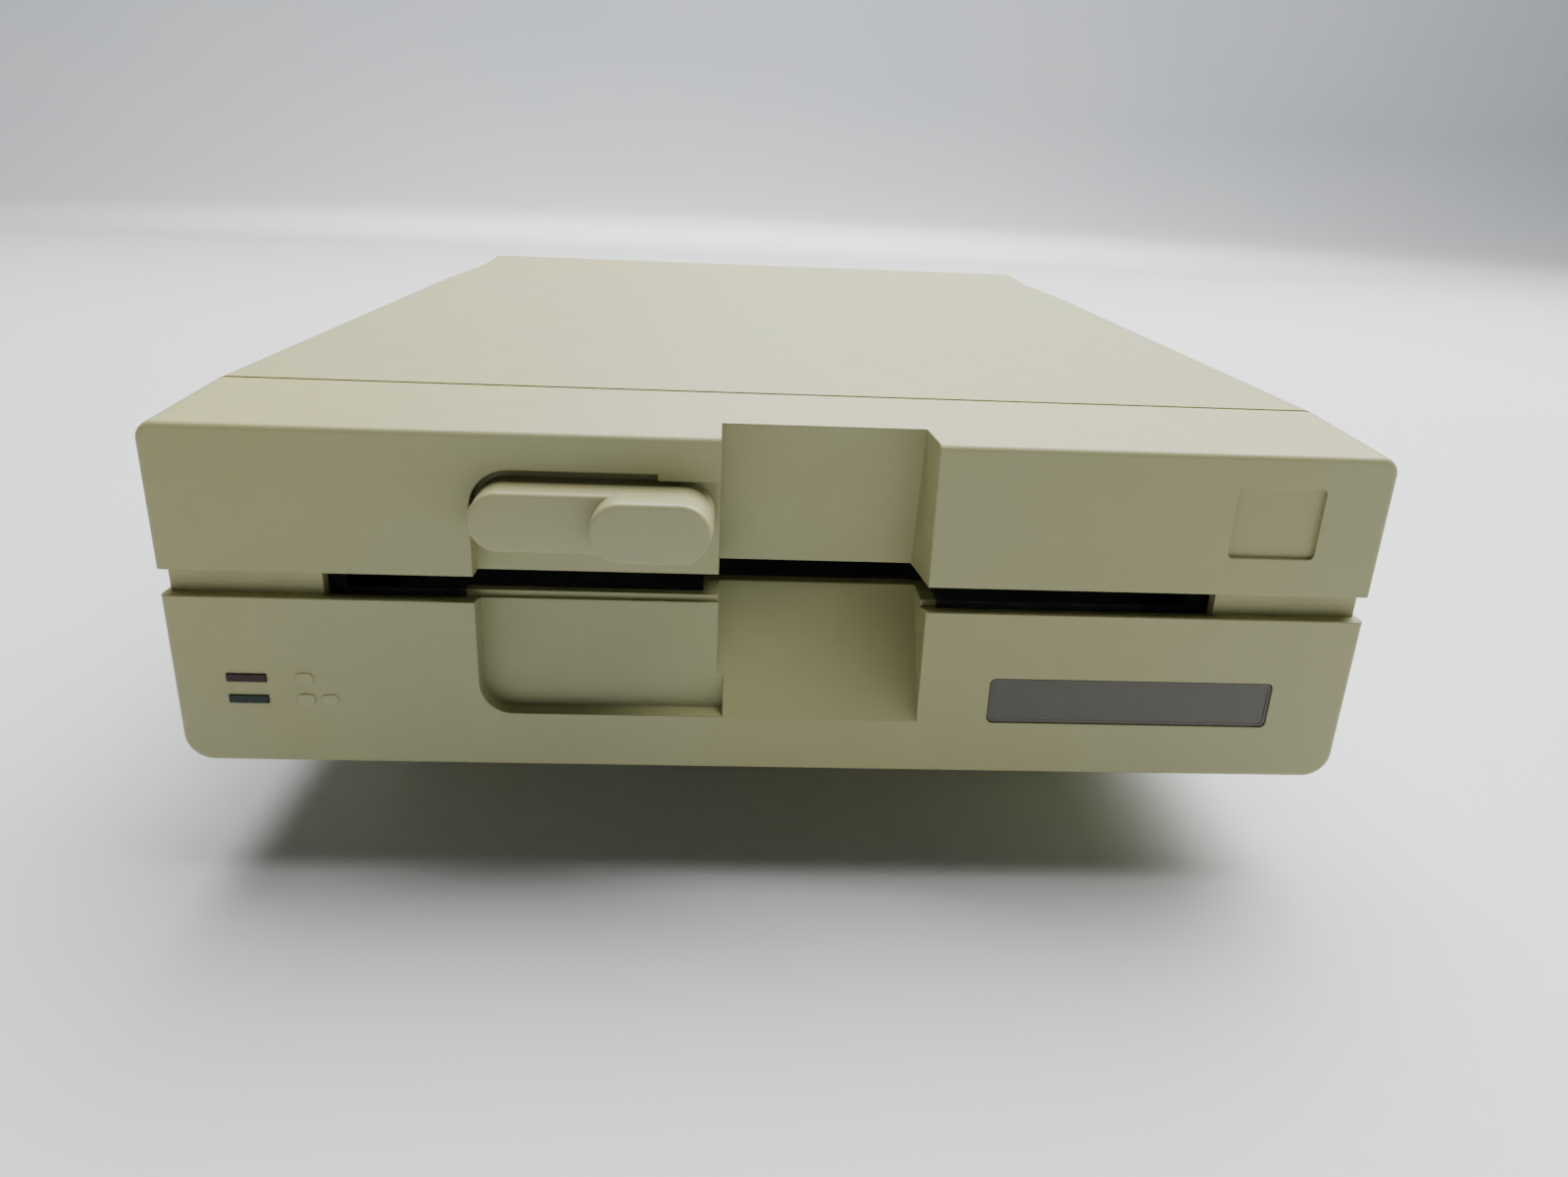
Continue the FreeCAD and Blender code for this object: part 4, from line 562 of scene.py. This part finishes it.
class DRIVE_OT_case(bpy.types.Operator):
    """Moulded finish on both case halves, rubber on the feet and lenses in the two lamp windows"""

    bl_idname = "drive.case"
    bl_label = "Case and lever"

    def execute(self, context):
        look = context.scene.drive_case
        shell = moulded_plastic("case_moulding", tuple(look.shell), look.grain)
        dress(("upper_case", "lower_case"), shell)
        dress(("feet",), rubber("foot_rubber", (0.03, 0.03, 0.032)))
        dress(("red_window",), lamp_lens("red_lamp_lens", tuple(look.red)))
        dress(("green_window",), lamp_lens("green_lamp_lens", tuple(look.green)))
        return {"FINISHED"}


class DRIVE_OT_lever(bpy.types.Operator):
    """Lever: a bar with round ends, and a knob that carries its right end forward"""

    bl_idname = "drive.lever"
    bl_label = "Lever"

    def execute(self, context):
        shape = context.scene.drive_lever
        look = context.scene.drive_case
        low, high = corner("lever_handle", 0), corner("lever_handle", 1)
        mid_z = (low[2] + high[2]) / 2
        half_v = shape.height / 2
        bar_front = low[1] + shape.bar_front
        bar = self.pad("bar", low[0], high[0], mid_z, bar_front, high[1] - bar_front, half_v, shape)
        knob_left = high[0] - shape.knob_length
        knob = self.pad("knob", knob_left, high[0], mid_z, low[1], shape.bar_front * 1.3, half_v, shape)
        finish = moulded_plastic("lever_moulding", tuple(look.lever), look.grain, 0.4, 0.25)
        made = piece("lever_bar_and_knob", [bar, knob], finish, "lever")
        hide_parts("lever_handle")
        return {"FINISHED"}

    def pad(self, name, left, right, z, front, depth, half_v, shape):
        """Pill-ended pad that narrows to its front by the draft and ends in a rounded rim."""
        half_u = (right - left) / 2
        rows = [(half_u, half_v, half_v, -depth)]
        for a in np.linspace(0.0, math.pi / 2, 6):
            inset = shape.draft + shape.rim * (1 - math.cos(a))
            rows.append((half_u - inset, half_v - inset, half_v - inset, -shape.rim * (1 - math.sin(a))))
        return lofted(name, rows, np.array([left + half_u, front, z]), FRONT_AXES, 24)


class DRIVE_OT_plate(bpy.types.Operator):
    """Bare name plate with a thin raised rim"""

    bl_idname = "drive.plate"
    bl_label = "Name plate"

    def execute(self, context):
        look = context.scene.drive_case
        rim = context.scene.drive_small.plate_rim
        low, high = corner("name_plate", 0), corner("name_plate", 1)
        half_u, half_v = (high[0] - low[0]) / 2, (high[2] - low[2]) / 2
        centre = np.array([(low[0] + high[0]) / 2, low[1], (low[2] + high[2]) / 2])
        r = PLATE_CORNER_R
        field = rim + PLATE_STEP
        rows = [(half_u, half_v, r, -(high[1] - low[1])),
                (half_u, half_v, r, -PLATE_FIELD_DEPTH),
                (half_u - PLATE_EDGE, half_v - PLATE_EDGE, r, -PLATE_RIM_DEPTH),
                (half_u - rim, half_v - rim, r - rim / 2, -PLATE_RIM_DEPTH),
                (half_u - field, half_v - field, r - rim, -PLATE_FIELD_DEPTH)]
        made = piece("name_plate_face", [lofted("plate", rows, centre, FRONT_AXES)],
                     plate_finish("brushed_plate", tuple(look.plate)), ROOT)
        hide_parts("name_plate")
        return {"FINISHED"}


class DRIVE_OT_marks(bpy.types.Operator):
    """Raised tally bars beside the lamps: one by the upper lamp, two by the lower"""

    bl_idname = "drive.marks"
    bl_label = "Lamp marks"

    def execute(self, context):
        small = context.scene.drive_small
        look = context.scene.drive_case
        material = moulded_plastic("mark_moulding", tuple(look.lever), look.grain, 0.4, 0.1)
        front_y = corner("lower_case", 0)[1]
        for node, count in (("red_window", 1), ("green_window", 2)):
            lamp = middle(node)
            right = corner(node, 1)[0]
            bars = []
            for i in range(count):
                x = right + small.mark_gap + (small.mark_length + MARK_SPACE) * i + small.mark_length / 2
                centre = np.array([x, front_y, lamp[2]])
                rows = crowned(small.mark_length / 2, small.mark_height / 2, small.mark_height * 0.42,
                               small.mark_rise, MARK_ROUNDING, MARK_SINK)
                bars.append(lofted("bar", rows, centre, FRONT_AXES))
            piece(node.replace("window", "lamp_marks"), bars, material, ROOT)
        return {"FINISHED"}


class DRIVE_OT_sockets(bpy.types.Operator):
    """Metal shields and contacts inside the round sockets, and finishes of the switches"""

    bl_idname = "drive.sockets"
    bl_label = "Sockets and switches"

    def execute(self, context):
        small = context.scene.drive_small
        shield = turned_metal("socket_shield", (0.7, 0.7, 0.68), (0, 0, 0), "Y")
        contact = sheet_metal("contact_tin", (0.75, 0.68, 0.45), 0.25)
        rear_y = corner("lower_case", 1)[1]
        pins = {"serial_socket_a": SERIAL_CONTACTS, "serial_socket_b": SERIAL_CONTACTS,
                "power_socket": POWER_CONTACTS}
        wall = [(SHIELD_OUTER_R, -SHIELD_FRONT), (SHIELD_OUTER_R, -SHIELD_BACK),
                (SHIELD_INNER_R, -SHIELD_BACK), (SHIELD_INNER_R, -SHIELD_FRONT)]
        cup = [(0.0, -CONTACT_BACK), (small.pin_r, -CONTACT_BACK), (small.pin_r, -CONTACT_FRONT),
               (small.pin_r * 0.6, -CONTACT_FRONT), (small.pin_r * 0.5, -CONTACT_CUP), (0.0, -CONTACT_CUP)]
        for node, angles in pins.items():
            centre = np.array([middle(node)[0], rear_y, corner(node, 1)[2] - SOCKET_DROP])
            ring = turned("shield", wall, centre, (0, 1, 0), 64, closed=True)
            piece(node + "_shield", [ring], shield, ROOT)
            leaves = []
            for angle in angles:
                reach = 0.0 if angle is None else CONTACT_RING_R
                turn = math.radians(angle or 0)
                at = centre + np.array([reach * math.cos(turn), 0.0, reach * math.sin(turn)])
                leaves.append(turned("leaf", cup, at, (0, 1, 0), 16))
            piece(node + "_contacts", leaves, contact, ROOT)
        dress(("switch_housing",), moulded_plastic("switch_moulding", (0.028, 0.028, 0.03), 2200.0, 0.4))
        dress(("power_rocker",), gloss_plastic("rocker_gloss", (0.035, 0.035, 0.037), 0.25))
        dress(("address_switch",), gloss_plastic("address_block", (0.03, 0.07, 0.22), 0.4))
        dress(("address_slider_1", "address_slider_2"),
              gloss_plastic("slider_white", (0.8, 0.8, 0.76), 0.35))
        dress(("serial_socket_a", "serial_socket_b", "power_socket"),
              moulded_plastic("socket_moulding", (0.03, 0.03, 0.032), 2200.0, 0.5))
        return {"FINISHED"}


class DRIVE_OT_mechanism(bpy.types.Operator):
    """Finishes of the chassis, shafts, clamp, heads and motors"""

    bl_idname = "drive.mechanism"
    bl_label = "Mechanism"

    def execute(self, context):
        zinc = (0.6, 0.6, 0.56)
        steel = (0.62, 0.62, 0.63)
        lines_y = (30.0, 1.0, 30.0)
        dress(("drive_frame",), cast_metal("cast_chassis", (0.5, 0.5, 0.51)))
        dress(("top_plate", "clamp_arm"), sheet_metal("zinc_sheet_x", zinc))
        dress(("bracket_left", "bracket_right"), sheet_metal("zinc_sheet_y", zinc, 0.36, lines_y))
        dress(("lever_shaft",), turned_metal("ground_shaft", steel, middle("lever_shaft"), "Y"))
        for node in ("spindle_hub", "stepper_pulley", "rotor_plate", "spindle_shaft", "spindle_bearings"):
            dress((node,), turned_metal(node + "_turned", (0.68, 0.68, 0.67), middle(node)))
        dress(("guide_rods", "hinge_pins", "arm_pin", "arm_spring", "steel_band", "cone_clip"),
              sheet_metal("drawn_steel", steel, 0.25, lines_y))
        dress(("case_screws", "top_plate_screws", "bracket_screws", "board_screws"),
              sheet_metal("screw_zinc", (0.64, 0.62, 0.5), 0.3, (8.0, 8.0, 8.0)))
        dress(("disk_guide_left", "disk_guide_right", "clamp_cam", "clamp_cone"),
              moulded_plastic("guide_moulding", (0.025, 0.025, 0.027), 2000.0, 0.45))
        dress(("head_carriage", "pressure_arm"),
              moulded_plastic("carriage_moulding", (0.05, 0.05, 0.055), 2000.0, 0.5))
        dress(("lower_head", "upper_head"), gloss_plastic("head_ceramic", (0.1, 0.09, 0.085), 0.18))
        dress(("stepper_motor",), sheet_metal("motor_can", (0.5, 0.5, 0.5), 0.3))
        dress(("rotor_magnet",), ferrite("rotor_ferrite", (0.05, 0.047, 0.046)))
        dress(("motor_coils",), winding("coil_core", (0.3, 0.11, 0.05)))
        dress(("index_sensor", "protect_sensor", "track_zero_sensor"),
              moulded_plastic("sensor_moulding", (0.02, 0.02, 0.022), 2400.0, 0.4))
        self.wind(context.scene.drive_small.wire_turns)
        return {"FINISHED"}

    def wind(self, turns):
        """Flat spirals of wire laid on the lower face of each coil."""
        low, high = corner("motor_coils", 0), corner("motor_coils", 1)
        hub = (low + high) / 2
        ring_r = (high[0] - low[0]) / 2 - COIL_R
        a = np.linspace(0.0, 2 * math.pi * turns, turns * STEPS_PER_TURN)
        reach = np.linspace(COIL_CORE_R, COIL_R - COIL_MARGIN, len(a))
        spiral = np.stack([reach * np.cos(a), reach * np.sin(a), np.zeros_like(a)], axis=1)
        wires = []
        for i in range(COIL_COUNT):
            turn = 2 * math.pi * i / COIL_COUNT
            at = np.array([hub[0] + ring_r * math.cos(turn), hub[1] + ring_r * math.sin(turn),
                           low[2] - WIRE_DROP])
            wires.append(tube("wire", at + spiral, WIRE_R, 6))
        piece("coil_windings", wires, winding("coil_wire", (0.42, 0.15, 0.06)), ROOT, 60.0)


class DRIVE_OT_boards(bpy.types.Operator):
    """Circuit boards, chips, capacitors and headers with their pins"""

    bl_idname = "drive.boards"
    bl_label = "Boards"

    def execute(self, context):
        green = (0.02, 0.095, 0.035)
        dress(("main_board", "drive_board", "motor_board", "led_board"),
              circuit_board("solder_resist", green))
        dress(("integrated_circuits", "board_headers"),
              moulded_plastic("chip_moulding", (0.022, 0.022, 0.024), 2600.0, 0.55))
        dress(("capacitors",), gloss_plastic("capacitor_sleeve", (0.02, 0.04, 0.14), 0.3))
        dress(("crystal",), sheet_metal("crystal_can", (0.72, 0.72, 0.72), 0.2))
        dress(("indicator_leds",), gloss_plastic("lamp_body", (0.6, 0.58, 0.52), 0.2))
        self.pins("board_headers")
        return {"FINISHED"}

    def pins(self, node):
        """Two rows of square pins with pyramid tips inside each header."""
        tin = sheet_metal("pin_tin", (0.7, 0.66, 0.5), 0.25)
        base_z = corner(node, 1)[2] - PIN_DEPTH
        y = middle(node)[1]
        rows = [(PIN_HALF, PIN_HALF, 0.02 * MM, 0.0), (PIN_HALF, PIN_HALF, 0.02 * MM, PIN_SHOULDER),
                (PIN_TIP_HALF, PIN_TIP_HALF, 0.01 * MM, PIN_LENGTH)]
        made = []
        for x, count, dy in HEADERS:
            for i in range(count):
                for row in (-1, 1):
                    at = np.array([x + (i - (count - 1) / 2) * PIN_PITCH, y + dy + row * PIN_PITCH / 2,
                                   base_z])
                    made.append(lofted("pin", rows, at, UPRIGHT_AXES, 2))
        piece("header_pins", made, tin, ROOT, 20.0)


class DRIVE_OT_stage(bpy.types.Operator):
    """Pale paper floor that curves up far off, soft lights and the camera"""

    bl_idname = "drive.stage"
    bl_label = "Stage"

    def execute(self, context):
        look = context.scene.drive_stage
        self.floor(tuple(look.floor))
        self.lamp("soft_box", (0.3, 0.5, 1.2), (0.0, 0.0, 0.0), 1.7, look.key, (1.0, 0.99, 0.97))
        self.lamp("wall_box", (0.0, 1.3, 0.9), (0.0, 3.0, 0.5), 1.2, look.wall, (0.94, 0.97, 1.0))
        world = bpy.data.worlds.new("studio_air")
        world.use_nodes = True
        world.node_tree.nodes["Background"].inputs["Color"].default_value = (0.86, 0.9, 1.0, 1.0)
        world.node_tree.nodes["Background"].inputs["Strength"].default_value = look.air
        context.scene.world = world
        self.camera(context)
        return {"FINISHED"}

    def floor(self, colour):
        """Dish of revolution: flat to its rim, then a quarter circle up to a low wall."""
        turn = np.linspace(0.0, math.pi / 2, 16)
        r = np.concatenate([[0.0, 0.5, 1.0, 1.6], FLOOR_FLAT_R + FLOOR_CURVE_R * np.sin(turn)])
        z = np.concatenate([[0.0, 0.0, 0.0, 0.0], FLOOR_CURVE_R * (1 - np.cos(turn))])
        data = turned("paper", np.stack([r, z - FLOOR_DROP], axis=1), np.zeros(3), (0, 0, 1), 96)
        data.polygons.foreach_set("use_smooth", np.ones(len(data.polygons), dtype=bool))
        data.flip_normals()
        data.materials.append(floor_paper("paper_floor", colour))
        made = bpy.data.objects.new("paper_floor", data)
        bpy.context.scene.collection.objects.link(made)

    def lamp(self, name, place, aim, size, power, colour):
        light = bpy.data.lights.new(name, "AREA")
        light.size = size
        light.energy = power
        light.color = colour
        made = bpy.data.objects.new(name, light)
        made.location = place
        way = np.array(aim) - np.array(place)
        tilt = math.atan2(math.hypot(way[0], way[1]), -way[2])
        made.rotation_euler = (tilt, 0.0, math.atan2(-way[0], way[1]))
        bpy.context.scene.collection.objects.link(made)

    def camera(self, context):
        """Camera at the photograph's place: yaw from +Y, pitch down and a small roll, in the row frame."""
        yaw, pitch, roll = map(math.radians, (CAMERA_YAW, CAMERA_PITCH, CAMERA_ROLL))
        front_y = corner("lower_case", 0)[1]
        place = np.array([CAMERA_X, front_y - CAMERA_AHEAD_OF_FRONT, CAMERA_Z])
        ahead = np.array([math.sin(yaw) * math.cos(pitch), math.cos(yaw) * math.cos(pitch),
                          -math.sin(pitch)])
        level = np.array([math.cos(yaw), -math.sin(yaw), 0.0])
        up = np.cross(level, ahead)
        right = math.cos(roll) * level + math.sin(roll) * up
        top = np.cross(right, ahead)
        data = bpy.data.cameras.new("photo_camera")
        data.sensor_width = SENSOR_WIDTH
        data.lens = FOCAL_PX / IMAGE_WIDTH_PX * SENSOR_WIDTH
        data.clip_start = 0.01
        made = bpy.data.objects.new("photo_camera", data)
        matrix = np.eye(4)
        for column, vector in enumerate((right, top, -ahead, place)):
            matrix[:3, column] = vector
        made.matrix_world = Matrix(matrix)
        context.scene.collection.objects.link(made)
        context.scene.camera = made


class DRIVE_PT_panel(bpy.types.Panel):
    """Lists the pieces of the drive and their settings"""

    bl_idname = "DRIVE_PT_panel"
    bl_label = "Floppy disk drive"
    bl_space_type = "VIEW_3D"
    bl_region_type = "UI"
    bl_category = "Drive"

    def draw(self, context):
        for key in GROUPS:
            group = getattr(context.scene, key)
            box = self.layout.box()
            for name in group.__annotations__:
                box.prop(group, name)
        for operator in OPERATORS:
            self.layout.operator(operator.bl_idname)


OPERATORS = (DRIVE_OT_case, DRIVE_OT_lever, DRIVE_OT_plate, DRIVE_OT_marks, DRIVE_OT_sockets,
             DRIVE_OT_mechanism, DRIVE_OT_boards, DRIVE_OT_stage)
GROUPS = {"drive_case": CaseLook, "drive_lever": LeverShape, "drive_small": SmallParts,
          "drive_stage": StageLook}
CLASSES = (*GROUPS.values(), *OPERATORS, DRIVE_PT_panel)


def register():
    for item in CLASSES:
        bpy.utils.register_class(item)
    for name, group in GROUPS.items():
        setattr(bpy.types.Scene, name, PointerProperty(type=group))


def unregister():
    for name in GROUPS:
        delattr(bpy.types.Scene, name)
    for item in reversed(CLASSES):
        bpy.utils.unregister_class(item)


def main():
    register()
    bpy.ops.drive.case()
    bpy.ops.drive.lever()
    bpy.ops.drive.plate()
    bpy.ops.drive.marks()
    bpy.ops.drive.sockets()
    bpy.ops.drive.mechanism()
    bpy.ops.drive.boards()
    bpy.ops.drive.stage()


if __name__ == "__main__":
    main()
